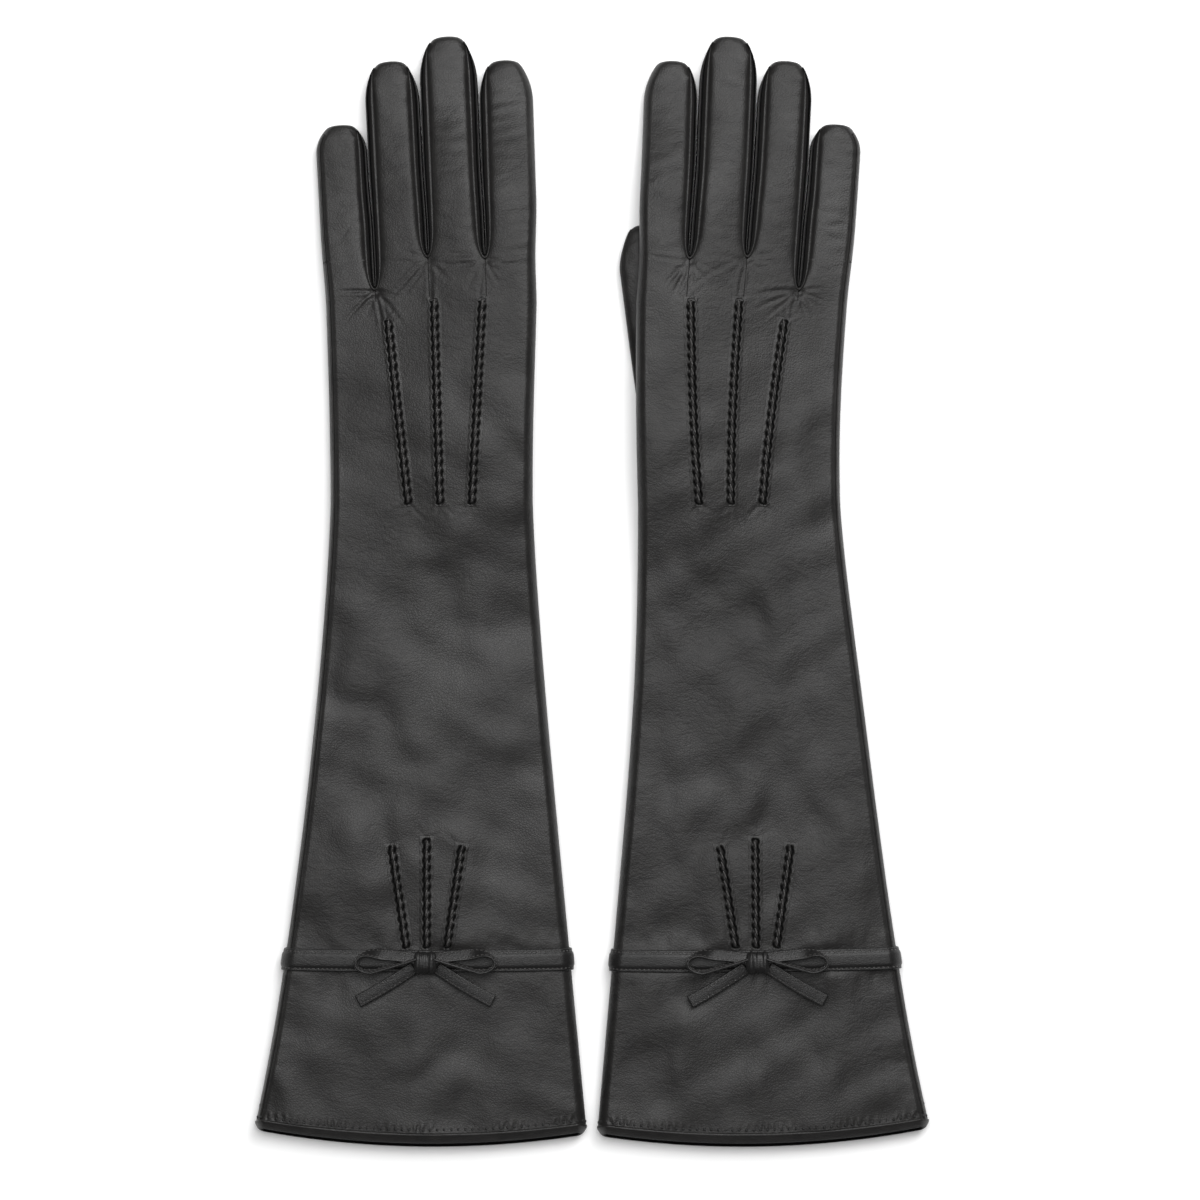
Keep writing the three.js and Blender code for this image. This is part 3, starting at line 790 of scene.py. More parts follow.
# ---- Materials ----
def add(tree, kind, inputs=None, **settings):
    """Adds a node, sets its properties, and sets or links its inputs."""
    node = tree.nodes.new(kind)
    for key, value in settings.items():
        setattr(node, key, value)
    for key, value in (inputs or {}).items():
        if isinstance(value, bpy.types.NodeSocket):
            tree.links.new(value, node.inputs[key])
        else:
            node.inputs[key].default_value = value
    return node


def new_material(name):
    """An empty node material with its output, and the object coordinates in metres."""
    material = bpy.data.materials.new(name)
    material.use_nodes = True
    tree = material.node_tree
    tree.nodes.clear()
    output = add(tree, "ShaderNodeOutputMaterial")
    where = add(tree, "ShaderNodeTexCoord").outputs["Object"]
    return material, tree, output, where


def noise(tree, where, size, **inputs):
    """A noise texture with features of a size in metres: its node."""
    names = {key.capitalize(): value for key, value in inputs.items()}
    return add(tree, "ShaderNodeTexNoise", {"Vector": where, "Scale": 1 / size, **names})


def remap(tree, value, low, high, to_low=0.0, to_high=1.0):
    """A value stretched from one range to another."""
    return add(tree, "ShaderNodeMapRange", {
        "Value": value, "From Min": low, "From Max": high, "To Min": to_low, "To Max": to_high,
    }).outputs["Result"]


def mix(tree, factor, first, second):
    """A colour between two."""
    inputs = {"Factor": factor, "A": first, "B": second}
    return add(tree, "ShaderNodeMix", inputs, data_type="RGBA").outputs["Result"]


def bump(tree, height, strength, distance, normal=None):
    """The normal of a relief this far high in metres, on top of another relief's normal."""
    inputs = {"Height": height, "Strength": strength, "Distance": distance}
    if normal:
        inputs["Normal"] = normal
    return add(tree, "ShaderNodeBump", inputs).outputs["Normal"]


def finish(tree, output, colour, roughness, normal, inputs):
    """Ends a material with its shader."""
    shader = add(tree, "ShaderNodeBsdfPrincipled", {
        "Base Color": colour, "Roughness": roughness, "Normal": normal, **inputs})
    tree.links.new(shader.outputs["BSDF"], output.inputs["Surface"])


def leather_material(name, colour, worn, roughness, grain, crease_scale, crease_strength):
    """Drum-dyed, finished sheepskin: near black, a soft sheen from the finish, a fine pebbled grain, a net
    of hair creases in drifts, and slightly greyer, rougher leather where it rubs. Points that a piece marks
    as deep in a fold or groove get painted shade: near black, with little shine."""
    material, tree, output, where = new_material(name)
    drift = noise(tree, where, 0.045, detail=3.0).outputs["Fac"]
    mottle = noise(tree, where, 0.006, detail=5.0, roughness=0.6).outputs["Fac"]
    pebbles = add(
        tree, "ShaderNodeTexVoronoi", {"Vector": where, "Scale": 1 / grain}, feature="DISTANCE_TO_EDGE")
    dents = remap(tree, pebbles.outputs["Distance"], 0.0, 0.22)
    bend = noise(tree, where, 0.011, detail=2.0).outputs["Color"]
    shift = add(tree, "ShaderNodeVectorMath", {0: bend, 3: 0.007}, operation="SCALE")
    bent = add(tree, "ShaderNodeVectorMath", {0: where, 1: shift.outputs["Vector"]}, operation="ADD")
    stretch = add(tree, "ShaderNodeMapping", {
        "Vector": bent.outputs["Vector"], "Scale": (0.75, 1.5, 1.0), "Rotation": (0, 0, 0.35)})
    net = noise(
        tree, stretch.outputs["Vector"], crease_scale, detail=3.0, roughness=0.62, distortion=0.8)
    lines = remap(tree, net.outputs["Fac"], 0.34, 0.62)
    drifts = remap(tree, drift, 0.40, 0.60, 0.15, 1.0)
    fine = bump(tree, dents, 0.16, 0.0004)
    soft = bump(tree, mottle, 0.09, 0.0012, fine)
    amount = add(tree, "ShaderNodeMath", {0: drifts, 1: crease_strength}, operation="MULTIPLY")
    creased = bump(tree, lines, amount.outputs["Value"], 0.0009, soft)
    tone = remap(tree, mottle, 0.32, 0.70)
    colours = mix(tree, tone, linear(colour), linear(worn))
    rough = remap(tree, drift, 0.35, 0.65, roughness - 0.05, roughness + 0.07)
    # Painted shade: where a piece marks a fold or groove, the colour goes near black and the shine drops, in
    # place of shade from the lamps.
    fold = add(tree, "ShaderNodeAttribute", attribute_name="painted_shade_amount").outputs["Fac"]
    shaded = mix(tree, fold, colours, linear(PAINTED_SHADE_COLOUR))
    shine = remap(tree, fold, 0.0, 1.0, 0.28, 0.04)
    finish(tree, output, shaded, rough, creased, {
        "Specular IOR Level": shine, "IOR": 1.5, "Sheen Weight": 0.03, "Sheen Roughness": 0.5})
    return material


def thread_material(name, colour, light, roughness):
    """Waxed black polyester thread, two strands twisted: fine slanting bands of painted highlight in a
    lighter colour along the twist, and a dull shine.
    """
    material, tree, output, where = new_material(name)
    turned = add(tree, "ShaderNodeMapping", {"Vector": where, "Rotation": (0.0, 0.0, 0.7)})
    bands = add(tree, "ShaderNodeTexWave", {
        "Vector": turned.outputs["Vector"], "Scale": 1 / 0.0011, "Distortion": 1.5}).outputs["Fac"]
    fuzz = noise(tree, where, 0.0005).outputs["Fac"]
    # Painted highlight: the bands mix in the lighter colour where the twisted strands would catch light.
    colours = mix(tree, bands, linear(colour), linear(light))
    hairs = bump(tree, fuzz, 0.3, 0.0001, bump(tree, bands, 0.5, 0.0002))
    finish(tree, output, colours, roughness, hairs, {"IOR": 1.5})
    return material


def jersey_material(name, colour, light):
    """Black silk jersey lining: fine knitted wales 0.9 mm apart, a faint sheen across them."""
    material, tree, output, where = new_material(name)
    wales, courses = (
        add(tree, "ShaderNodeTexWave", {"Vector": where, "Scale": 1 / size, "Distortion": distortion},
            bands_direction=axis).outputs["Fac"]
        for size, distortion, axis in ((0.0018, 0.4, "X"), (0.0014, 0.8, "Y"))
    )
    knit = add(tree, "ShaderNodeMath", {0: wales, 1: courses}, operation="MULTIPLY").outputs["Value"]
    colours = mix(tree, knit, linear(colour), linear(light))
    finish(tree, output, colours, 0.7, bump(tree, knit, 0.4, 0.0003), {"Sheen Weight": 0.2, "IOR": 1.46})
    return material


def paper_material(name, colour):
    """A matt white paper sweep: faint tooth, no shine."""
    material, tree, output, where = new_material(name)
    tooth = bump(tree, noise(tree, where, 0.002).outputs["Fac"], 0.02, 0.0002)
    finish(tree, output, linear(colour), 0.95, tooth, {"Specular IOR Level": 0.1})
    return material


MATERIALS = {}


def finish_of(kind):
    """The material for a kind of surface, made the first time it is asked for."""
    if kind not in MATERIALS:
        colours = bpy.context.scene.glove_colours
        if kind in LEATHERS:
            name, colour, worn, roughness, grain, *creases = LEATHERS[kind]
            MATERIALS[kind] = leather_material(
                name, getattr(colours, colour), getattr(colours, worn), roughness,
                bpy.context.scene.glove_sizes.grain * grain, *creases)
        elif kind in THREADS:
            name, colour, light, roughness = THREADS[kind]
            MATERIALS[kind] = thread_material(
                name, getattr(colours, colour), getattr(colours, light), roughness)
        elif kind == "jersey":
            MATERIALS[kind] = jersey_material("black silk jersey", colours.lining, colours.leather)
        else:
            MATERIALS[kind] = paper_material("white paper", colours.paper)
    return MATERIALS[kind]


def facing_out(path):
    """Unit normals of a path that runs round the glove in the XZ plane."""
    way = np.roll(path, -1, 0) - np.roll(path, 1, 0)
    normal = unit(np.stack([-way[:, 2], np.zeros(len(path)), way[:, 0]], -1))
    flip = np.sign(np.sum(normal * (path - path.mean(0)), 1, keepdims=True))
    return normal * np.where(flip == 0, 1, flip)


# ---- Sizes and colours a user may change ----
def length_property(name, description, default, low, high):
    """A length in metres."""
    return bpy.props.FloatProperty(
        name=name, description=description, default=default, min=low, max=high,
        unit="LENGTH", subtype="DISTANCE")


def colour_property(name, description, default):
    """A colour as sRGB hex."""
    return bpy.props.StringProperty(name=name, description=description, default=default)


class GloveSizes(bpy.types.PropertyGroup):
    """Sizes of the gloves' finish."""

    undulation: length_property("Undulation", "How far the leather swells and dips", 0.00038, 0, 0.001)
    crease_depth: length_property("Crease depth", "Depth of the leather's creases", 0.00007, 0, 0.0005)
    grain: length_property("Grain", "Width of one pebble of the grain", 0.0011, 0.0003, 0.003)
    hem_pitch: length_property("Hem stitch", "Pitch of the stitches above the hem", 0.003, 0.001, 0.01)
    trim_pitch: length_property("Trim stitch", "Pitch on the strap and bow", 0.0019, 0.001, 0.01)
    point_pitch: length_property("Point stitch", "Pitch of the raised rows", 0.004, 0.001, 0.01)
    view_width: length_property("View width", "Width that the camera takes in", 0.4963, 0.1, 2)


class GloveColours(bpy.types.PropertyGroup):
    """Colours of the gloves' materials, as sRGB hex."""

    leather: colour_property("Leather", "Nappa leather, sRGB hex", "#151414")
    leather_worn: colour_property("Worn leather", "Where it rubs, sRGB hex", "#1d1c1b")
    trim: colour_property("Trim", "Strap, bow and binding, sRGB hex", "#131313")
    thread: colour_property("Thread", "Stitching thread, sRGB hex", "#191818")
    trim_thread: colour_property("Trim thread", "Stitches above the hem, sRGB hex", "#060606")
    thread_light: colour_property("Thread light", "Where the strands catch light", "#4a4847")
    lining: colour_property("Lining", "Lining cloth, sRGB hex", "#17171a")
    paper: colour_property("Paper", "The floor, sRGB hex", "#fbfbfb")


# ---- Operators ----
def add_object(name, data):
    """A new object in the scene."""
    item = bpy.data.objects.new(name, data)
    bpy.context.scene.collection.objects.link(item)
    return item


class GLOVES_OT_stage(bpy.types.Operator):
    """Lay the paper floor, hang the studio lights and set the camera straight above"""

    bl_idname = "gloves.stage"
    bl_label = "Stage"

    def execute(self, context):
        mesh = bpy.data.meshes.new("paper_floor")
        corners = [
            (x * FLOOR_REACH, y * FLOOR_REACH, -FLOOR_DROP) for x, y in ((-1, -1), (1, -1), (1, 1), (-1, 1))]
        mesh.from_pydata(corners, [], [(0, 1, 2, 3)])
        mesh.materials.append(finish_of("paper"))
        floor = add_object("paper_floor", mesh)

        world = bpy.data.worlds.new("studio")
        world.use_nodes = True
        background = world.node_tree.nodes["Background"]
        background.inputs["Color"].default_value = linear("#ffffff")
        background.inputs["Strength"].default_value = WORLD_STRENGTH
        context.scene.world = world
        for name, at, size, power in LAMPS:
            light = bpy.data.lights.new(name, "AREA")
            light.shape, light.size, light.energy = "DISK", size, power
            lamp = add_object(name, light)
            lamp.location = at
            lamp.rotation_euler = (-Vector(at)).to_track_quat("-Z", "Y").to_euler()
        context.scene.view_settings.view_transform = "Standard"

        data = bpy.data.cameras.new("camera")
        data.lens, data.sensor_width = CAMERA_LENS, CAMERA_SENSOR
        camera = add_object("camera", data)
        height = context.scene.glove_sizes.view_width * data.lens / data.sensor_width
        camera.location = (*CAMERA_MIDDLE, height + THICKNESS * MM)
        context.scene.camera = camera
        return {"FINISHED"}


class GLOVES_OT_trank(bpy.types.Operator):
    """Shape the leather of each arm and hand, from the hem to the roots of the fingers"""

    bl_idname = "gloves.trank"
    bl_label = "Arm and hand leather"

    def execute(self, context):
        split = 196.0  # where the arm's mesh ends and the hand's begins
        for side in SIDES:
            top_x, palm_x = hand_columns(side)
            arm_rows = np.concatenate([np.arange(6.2, 12, 0.5), np.arange(12, split, 0.85), [split]])
            hand_rows = np.concatenate([np.arange(split, CUT_Y - 0.3, 0.55), [CUT_Y]])
            arm = bow_hem(trank_ring(arm_rows, top_x, palm_x, side))
            turned = arm[0] + (arm[0].mean(0) - arm[0]) * [0.02, 0, 0.22]
            arm = np.concatenate([[turned + [0, 7.0, 0]], [turned], arm])
            hand = trank_ring(hand_rows, top_x, palm_x, side)
            bend = (f"{side}_sleeve", f"{side}_hand", *bend_places(side, 0, *WRIST_BEND))
            for name, grid, node in (("arm_leather", arm, "sleeve"), ("hand_leather", hand, "hand")):
                piece = build_piece(f"{side}_{name}", side, [grid], OPEN, "nappa")
                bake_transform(piece)
                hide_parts(f"{side}_{node}")
            seam = np.concatenate([arm[2:, -3], hand[1:, -3]])
            build_piping(f"{side}_arm_seam", side, seam)
        return {"FINISHED"}


def bend_places(side, x, start, end):
    """The frame points where a bend starts and ends, on the glove's line x."""
    return tuple(place(side, [x, y, 0.0]) for y in (start, end))


def build_piping(name, side, path):
    """A corded seam: a round profile carried along a path that lies on the leather."""
    out = np.tile([-0.7, 0.0, 0.7], (len(path), 1))
    grid = tube_along(path + out * 0.12, out, round_profile(0.42))
    piece = build_piece(name, side, [grid], CLOSED, "nappa")
    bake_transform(piece)


class GLOVES_OT_fingers(bpy.types.Operator):
    """Shape each finger's back and palm leather"""

    bl_idname = "gloves.fingers"
    bl_label = "Finger leather"

    def execute(self, context):
        for side in SIDES:
            for name in FINGER_NAMES:
                grid = finger_skin(name, side)
                label = f"{side}_{name}_finger_leather"
                piece = build_piece(label, side, [grid], TIP_CLOSED, "nappa")
                bend = knuckle_bend(side, name)
                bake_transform(piece)
                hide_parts(f"{side}_{name}_finger")
                if name == "little":
                    build_piping(f"{side}_little_seam", side, grid[:-16, -3])
        return {"FINISHED"}


def knuckle_bend(side, name):
    """The two bodies and the two places between which a finger bends."""
    finger = FINGERS[name]
    places = bend_places(side, finger["x"], *(finger["y"] + beyond for beyond in KNUCKLE_BEND))
    return (f"{side}_hand", f"{side}_{name}", *places)


def fourchette(name, way, side):
    """The strip between two fingers that belongs to one of them: its profile follows a family of curves that
    turn round the bottom of the gap, each the root of a tanh, and rides down the finger to close before the
    tip. Also gives, for each point, the painted shade of the wall that runs down into the gap."""
    finger = FINGERS[name]
    start = crotch_along(name, gap_on(name, way))
    a = (finger["length"] - 2.2 - start - 2.3) * np.linspace(0, 1, 150)[:, None] ** 1.7
    loop = smooth_loop(FOURCHETTE, 34)
    spread, behind, reach, drop = loop.T[:, None, :]
    spread = spread - LIP[way] * smooth(-drop)
    along = start + behind + a
    far = 1 - strip_share(name, way, along)
    width = spread * np.sqrt(np.tanh(a / reach)) * (1 - far)
    edge = finger_edge(name, way, along)
    x, y = finger_to_glove(finger, way * (edge - width + 0.05 * far), along)
    sx, sy = finger_to_glove(finger, way * np.maximum(edge - SEAM_HALF * (1 - far), 0), along)
    thick = tip_thick(finger, along)
    middle = finger_height(finger, along) / 2
    own = middle + middle * thick + relief(sx, sy, side) * 0.3
    hand = THICKNESS + relief(sx, sy, side) * 0.6
    top = hand + (own - hand) * smooth((sy - CUT_Y) / 22) - 0.1
    low = middle - middle * thick
    # Two heights are blended where the profile passes from "below the back" to "above the table".
    from_back = top - np.maximum(drop, 0) * (1 - 0.55 * far)
    from_table = low + np.maximum(-drop, 0)
    order = np.arange(len(loop))
    share = smooth((1.2 - drop) / 3.0) * (drop < 1.2) * (order > 16)
    z = from_back + (from_table - from_back) * share
    z = np.clip(z, low + 0.3, None) + lift(x, y)
    # Painted shade: the wall down into the gap between the fingers, and all below it, is marked to be
    # painted near black.
    inside = np.maximum(smooth((loop[:, 3] - 1.2) / 1.4) * (order > 8), order > 16)
    return np.stack([x, y, z], -1), np.tile(inside, (len(z), 1))


class GLOVES_OT_fourchettes(bpy.types.Operator):
    """Set the narrow strips between the fingers, with their rolled seams"""

    bl_idname = "gloves.fourchettes"
    bl_label = "Fourchettes"

    def execute(self, context):
        for side in SIDES:
            for name in FINGER_NAMES:
                sides = [(way, pair) for way, pair in zip((-1, 1), gap_sides(name)) if pair]
                for way, pair in sides:
                    other, towards = (pair[0], "little") if way < 0 else (pair[1], "index")
                    suffix = f"_{towards}_side" if len(sides) > 1 else ""
                    grid, inside = fourchette(name, way, side)
                    label = f"{side}_{name}_fourchette_towards_{other}"
                    piece = build_piece(label, side, [grid], CLOSED, "fold")
                    # Paints the wall down into the gap near black: painted shade.
                    shade(piece, inside)
                    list(knuckle_bend(side, name))
                    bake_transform(piece)
                    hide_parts(f"{side}_{name}_fourchette{suffix}")
        return {"FINISHED"}


def thumb_skin(side):
    """A thumb: squared ovals across it, from its round heel to its tapered tip, with a groove
    along each seam."""
    length, width, thickness, tip = (THUMB[key] for key in ("length", "width", "thickness", "tip"))
    heel = width / 2
    back = -heel * np.sin(np.linspace(1, 0, 16) * np.pi / 2)
    fore = length - tip + tip * np.sin(np.linspace(0, 1, 26) * np.pi / 2)
    rows = np.concatenate([back[1:], np.arange(0.8, length - tip, 0.8), fore[:-1]])
    shrink = np.where(rows < 0, np.sqrt(np.maximum(1 - (rows / heel) ** 2, 0.01)), 1.0)
    share = np.clip((rows - length + tip) / tip, 0, 1)
    shrink = shrink * (1 - 0.68 * share ** 1.7) * np.sqrt(1 - share ** 20)
    turn = circle(64)
    out, up = signed_power(np.cos(turn), 0.75), signed_power(np.sin(turn), 0.8)
    across = width / 2 * shrink[:, None] * out
    along = np.broadcast_to(rows[:, None], across.shape)
    thick = np.minimum(1, shrink * 1.3)[:, None]
    wrinkle = 0.12 * waves(across, along, 7, 31)
    z = thickness / 2 + (thickness / 2 - 0.15) * thick * up + wrinkle * np.abs(up) * 0.8
    groove = np.exp(-((turn - 0.62) / 0.05) ** 2) + np.exp(-((turn - np.pi + 0.62) / 0.05) ** 2)
    z = z - 0.35 * groove * thick
    x, y = finger_to_glove({**THUMB, "lean": -THUMB_ANGLE[side]}, across, along)
    return np.stack([x, y, np.maximum(z, 0.05)], -1)


class GLOVES_OT_thumbs(bpy.types.Operator):
    """Shape the thumb tucked under each palm, with its two seams"""

    bl_idname = "gloves.thumbs"
    bl_label = "Thumbs"

    def execute(self, context):
        for side in SIDES:
            grid = thumb_skin(side)
            piece = build_piece(f"{side}_thumb_leather", side, [grid], CLOSED, "nappa")
            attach(piece, f"{side}_thumb")
            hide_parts(f"{side}_thumb")
            for edge, angle in (("outer", 0.42), ("inner", np.pi - 0.42)):
                column = int(round(angle / (2 * np.pi) * grid.shape[1]))
                path = grid[6:-5, column] + [0, 0, 0.1]
                up = np.tile([math.cos(angle) * 0.7, 0, 0.7], (len(path), 1))
                cord = tube_along(path, up, round_profile(0.4))
                label = f"{side}_thumb_seam_{edge}"
                seam = build_piece(label, side, [cord], CLOSED, "nappa")
                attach(seam, f"{side}_thumb")
        return {"FINISHED"}


class GLOVES_OT_trims(bpy.types.Operator):
    """Roll the binding round each hem, wrap the strap, and stitch both"""

    bl_idname = "gloves.trims"
    bl_label = "Binding and strap"

    def execute(self, context):
        sizes = context.scene.glove_sizes
        for side in SIDES:
            roll = smooth_loop(BINDING, 28)
            binding = bow_hem(flat_ring(BINDING_Y + roll[:, 0], roll[:, 1], 90, 12))
            binding = np.concatenate([binding, binding[:1]])
            piece = build_piece(f"{side}_binding", side, [binding], OPEN, "fold")
            # Painted shade: the binding's inner face, turned into the glove's mouth, is marked to be painted
            # near black.
            inner = smooth((-roll[:, 1] - 1.0) / 0.9)
            shade(piece, np.tile(np.append(inner, inner[0])[:, None], (1, binding.shape[1])))
            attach(piece, f"{side}_sleeve")
            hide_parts(f"{side}_cuff_binding")
            band = smooth_loop(STRAP, 40)
            strap = sag(flat_ring(STRAP_Y + band[:, 0], band[:, 1] - STRAP_SINK, 90, 12))
            strap = np.concatenate([strap, strap[:1]])
            piece = build_piece(f"{side}_strap_band", side, [strap], OPEN, "trim")
            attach(piece, f"{side}_sleeve")
            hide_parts(f"{side}_strap")
            capsules = []
            for edge in (-HALF_STRAP + 1.25, HALF_STRAP - 1.25):
                path = sag(flat_ring(STRAP_Y + edge, 1.22 - STRAP_SINK, 90, 12))[0]
                normals = facing_out(path)
                capsules.extend(
                    run_of_stitches(path, normals, sizes.trim_pitch / MM, 0.7, 0.62, 0.5, closed=True))
            label = f"{side}_strap_stitching"
            stitching = build_piece(label, side, capsules, CLOSED, "thread")
            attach(stitching, f"{side}_sleeve")
            path = flat_ring(7.9, 0.12, 120, 12)
            back = path[:, :120]
            back[..., 2] = back_height(back[..., 0], back[..., 1], side) + 0.06
            path = bow_hem(path)[0]
            capsules = run_of_stitches(
                path, facing_out(path), sizes.hem_pitch / MM, 0.42, 1.3, 0.5, closed=True)
            label = f"{side}_hem_stitching"
            stitching = build_piece(label, side, capsules, CLOSED, "trim_thread")
            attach(stitching, f"{side}_sleeve")
        return {"FINISHED"}


def sag(ring):
    """Lets the strap's back hang a little lower in its middle."""
    out = ring.copy()
    edge = across_share(ring[..., 0], STRAP_Y)
    out[..., 1] -= 0.7 * (1 - edge ** 2) * smooth((ring[..., 2] - 6) / 5)
    return out


def run_of_stitches(path, normals, pitch, share, width, height, closed=False):
    """Stitches along a line on the leather, each standing on the nearest point's normal."""
    at, way = walk(np.vstack([path, path[:1]]) if closed else path, pitch)
    nearest = np.argmin(((at[:, None, :] - path[None, :, :]) ** 2).sum(-1), 1)
    return stitches(at, way, normals[nearest], pitch * share, width, height)


# ---- The bow ----
def ribbon(path, up, width, thickness, columns=26):
    """A flat strap of leather: a rounded oblong profile carried along a path. `up` is the way its
    width stands, at each place."""
    t = circle(columns)
    across = signed_power(np.cos(t), 0.35) * width / 2
    out = signed_power(np.sin(t), 0.6) * thickness / 2
    out = out * (1 - 0.18 * np.exp(-((np.abs(across) - width / 2 + 1.0) / 0.3) ** 2))
    way = unit(np.gradient(path, axis=0))
    face = unit(np.cross(way, up))
    stand = np.cross(face, way)
    grid = path[:, None, :] + stand[:, None, :] * across[None, :, None]
    return grid + face[:, None, :] * out[None, :, None], stand, face


def bow_loop_path(direction):
    """The middle line of one loop: a teardrop from the knot out and back, its height following
    the strap, and the way the ribbon's width stands: tilted on the upper limb, on edge round the
    far end and on the lower limb."""
    t = np.linspace(0, 1, 110)
    reach, start, half = 25.2, 0.74, 3.9
    limb = np.clip(np.minimum(t, 1 - t) / 0.34, 0, 1)
    turn = np.pi * np.clip((t - 0.34) / 0.32, 0, 1)
    out = reach * (start * limb + (1 - start) * np.sin(turn))
    side = np.where(t < 0.34, 1.0, np.where(t > 0.66, -1.0, np.cos(turn)))
    y = STRAP_Y + 0.8 + half * side * limb ** 0.9 - 1.9 * limb
    x = BOW_X + direction * (3.6 + out)
    z = 17.7 - 0.6 * out / reach
    lean = np.radians(24 + 60 * smooth((t - 0.24) / 0.2))
    up = np.stack([np.zeros_like(t), -np.cos(lean), np.sin(lean)], -1)
    return np.stack([x, y, z], -1), up


def bow_tail_path(direction):
    """The middle line of one tail, from under the knot down across the arm, and its width's way."""
    angle, reach = math.radians(31), 27.2
    t = np.linspace(0, 1, 50)
    hump = np.sin(np.pi * t)
    path = np.array([BOW_X + direction * 4.6, STRAP_Y - 3.2, 14.75]) + np.stack([
        direction * math.cos(angle) * reach * t,
        -math.sin(angle) * reach * t - 0.48 * hump,
        -0.35 * t + 0.55 * hump], -1)
    up = np.stack([
        np.full_like(t, math.sin(angle) * direction), np.full_like(t, math.cos(angle)),
        0.12 * np.cos(2 * t)], -1)
    return path, up


def bow_knot_skin():
    """The knot band: a squared barrel with a few folds, pinched in its middle."""
    x = np.linspace(-1, 1, 60)
    turn = circle(72)
    barrel = (1 - np.abs(x) ** 5) ** 0.22 * (1 - 0.10 * np.exp(-(x / 0.5) ** 2))
    folds = 1 + 0.05 * np.cos(x * 10.5 + 0.7)[:, None]
    folds = folds + 0.025 * np.cos(x * 23)[:, None] * np.cos(turn)[None, :]
    radius = barrel[:, None] * folds
    y = STRAP_Y - 1.0 + radius * (signed_power(np.cos(turn), 0.8) * 4.9)
    z = 17.2 + radius * (signed_power(np.sin(turn), 0.9) * 3.1)
    return np.stack([np.broadcast_to(BOW_X + 4.75 * x[:, None], y.shape), y, z], -1)


class GLOVES_OT_bows(bpy.types.Operator):
    """Tie the bow on each strap: two loops, two tails and the knot band, stitched"""

    bl_idname = "gloves.bows"
    bl_label = "Bows"

    def execute(self, context):
        thread = (context.scene.glove_sizes.trim_pitch / MM, 0.7, 0.42, 0.34)
        for side in SIDES:
            for end, direction in (("outer", -1), ("inner", 1)):
                path, up = bow_loop_path(direction)
                grid, stand, face = ribbon(path, up, 5.0, 1.2)
                label = f"{side}_bow_ribbon_loop_{end}"
                piece = build_piece(label, side, [grid], CLOSED, "trim")
                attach(piece, f"{side}_sleeve")
                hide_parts(f"{side}_bow_loop_{end}")
                capsules = []
                path, stand, face = path[4:-4], stand[4:-4], face[4:-4]
                for across in (-1.6, 1.6):
                    for out in (-0.62, 0.62):
                        line = path + stand * across + face * out
                        capsules.extend(run_of_stitches(line, np.sign(out) * face, *thread))
                path, up = bow_tail_path(direction)
                grid, stand, face = ribbon(path, up, 5.4, 1.2)
                label = f"{side}_bow_ribbon_tail_{end}"
                piece = build_piece(label, side, [grid], CLOSED, "trim")
                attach(piece, f"{side}_sleeve")
                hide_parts(f"{side}_bow_tail_{end}")
                top = np.sign(face[0, 2])
                lines = [path + stand * across + face * top * 0.62 for across in (-1.75, 1.75)]
                across_end = np.stack([line[-3] for line in lines])
                for line in (lines[0][:-2], lines[1][:-2], across_end):
                    normals = np.tile(face[0] * top, (len(line), 1))
                    capsules.extend(run_of_stitches(line, normals, *thread))
                label = f"{side}_bow_stitching_{end}"
                piece = build_piece(label, side, capsules, CLOSED, "thread")
                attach(piece, f"{side}_sleeve")
            label = f"{side}_bow_knot_band"
            piece = build_piece(label, side, [bow_knot_skin()], CLOSED, "trim")
            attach(piece, f"{side}_sleeve")
            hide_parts(f"{side}_bow_knot")
        return {"FINISHED"}


# ---- Raised rows ----
def point_patch(rows, index, side, pitch):
    """The tucked leather of one raised row: a strip that follows the back, with a groove on each side of a
    low cord; the groove towards the index finger deepens at each stitch. Also gives, for each point, how
    much painted shade its grooves get."""
    start, length, way, normal = row_line(rows, index)
    e = np.linspace(-3.4, 3.4, 47)[None, :]
    s = np.arange(-2.6, length + 2.6, 0.4)[:, None]
    x = start[0] + way[0] * s + normal[0] * e
    y = start[1] + way[1] * s + normal[1] * e
    live = smooth((s + 2.0) / 0.9) * smooth((length + 2.0 - s) / 0.9)
    beat = np.cos(2 * np.pi * s / pitch)
    wander = 0.26 * np.sin(2 * np.pi * s / pitch)
    past = np.maximum(np.maximum(-s, s - length), 0)
    away = np.sqrt((e - wander) ** 2 + (1.3 * past) ** 2)
    groove = np.exp(-((away - 1.05 - 0.12 * beat) / 0.36) ** 2)
    left = -1.15 * (0.8 + 0.2 * beat) * groove * smooth(0.5 - e)
    right = -1.10 * (0.52 + 0.48 * beat) * groove * smooth(0.5 + e)
    cord = (0.45 + 0.18 * beat) * np.exp(-((e - wander) / 0.6) ** 2)
    shoulder = 0.16 * np.exp(-((away - 2.0) / 0.45) ** 2)
    border = smooth((3.4 - np.abs(e)) / 0.5)
    border = border * smooth((s + 2.6) / 0.6) * smooth((length + 2.6 - s) / 0.6)
    z = back_height(x, y, side) + live * (left + right + cord + shoulder) + 0.05 - 0.25 * (1 - border)
    # The second value is painted shade: near black in the grooves, scaled by their depth.
    return np.stack([x, y, z], -1), live * smooth(-(left + right) * 1.5)


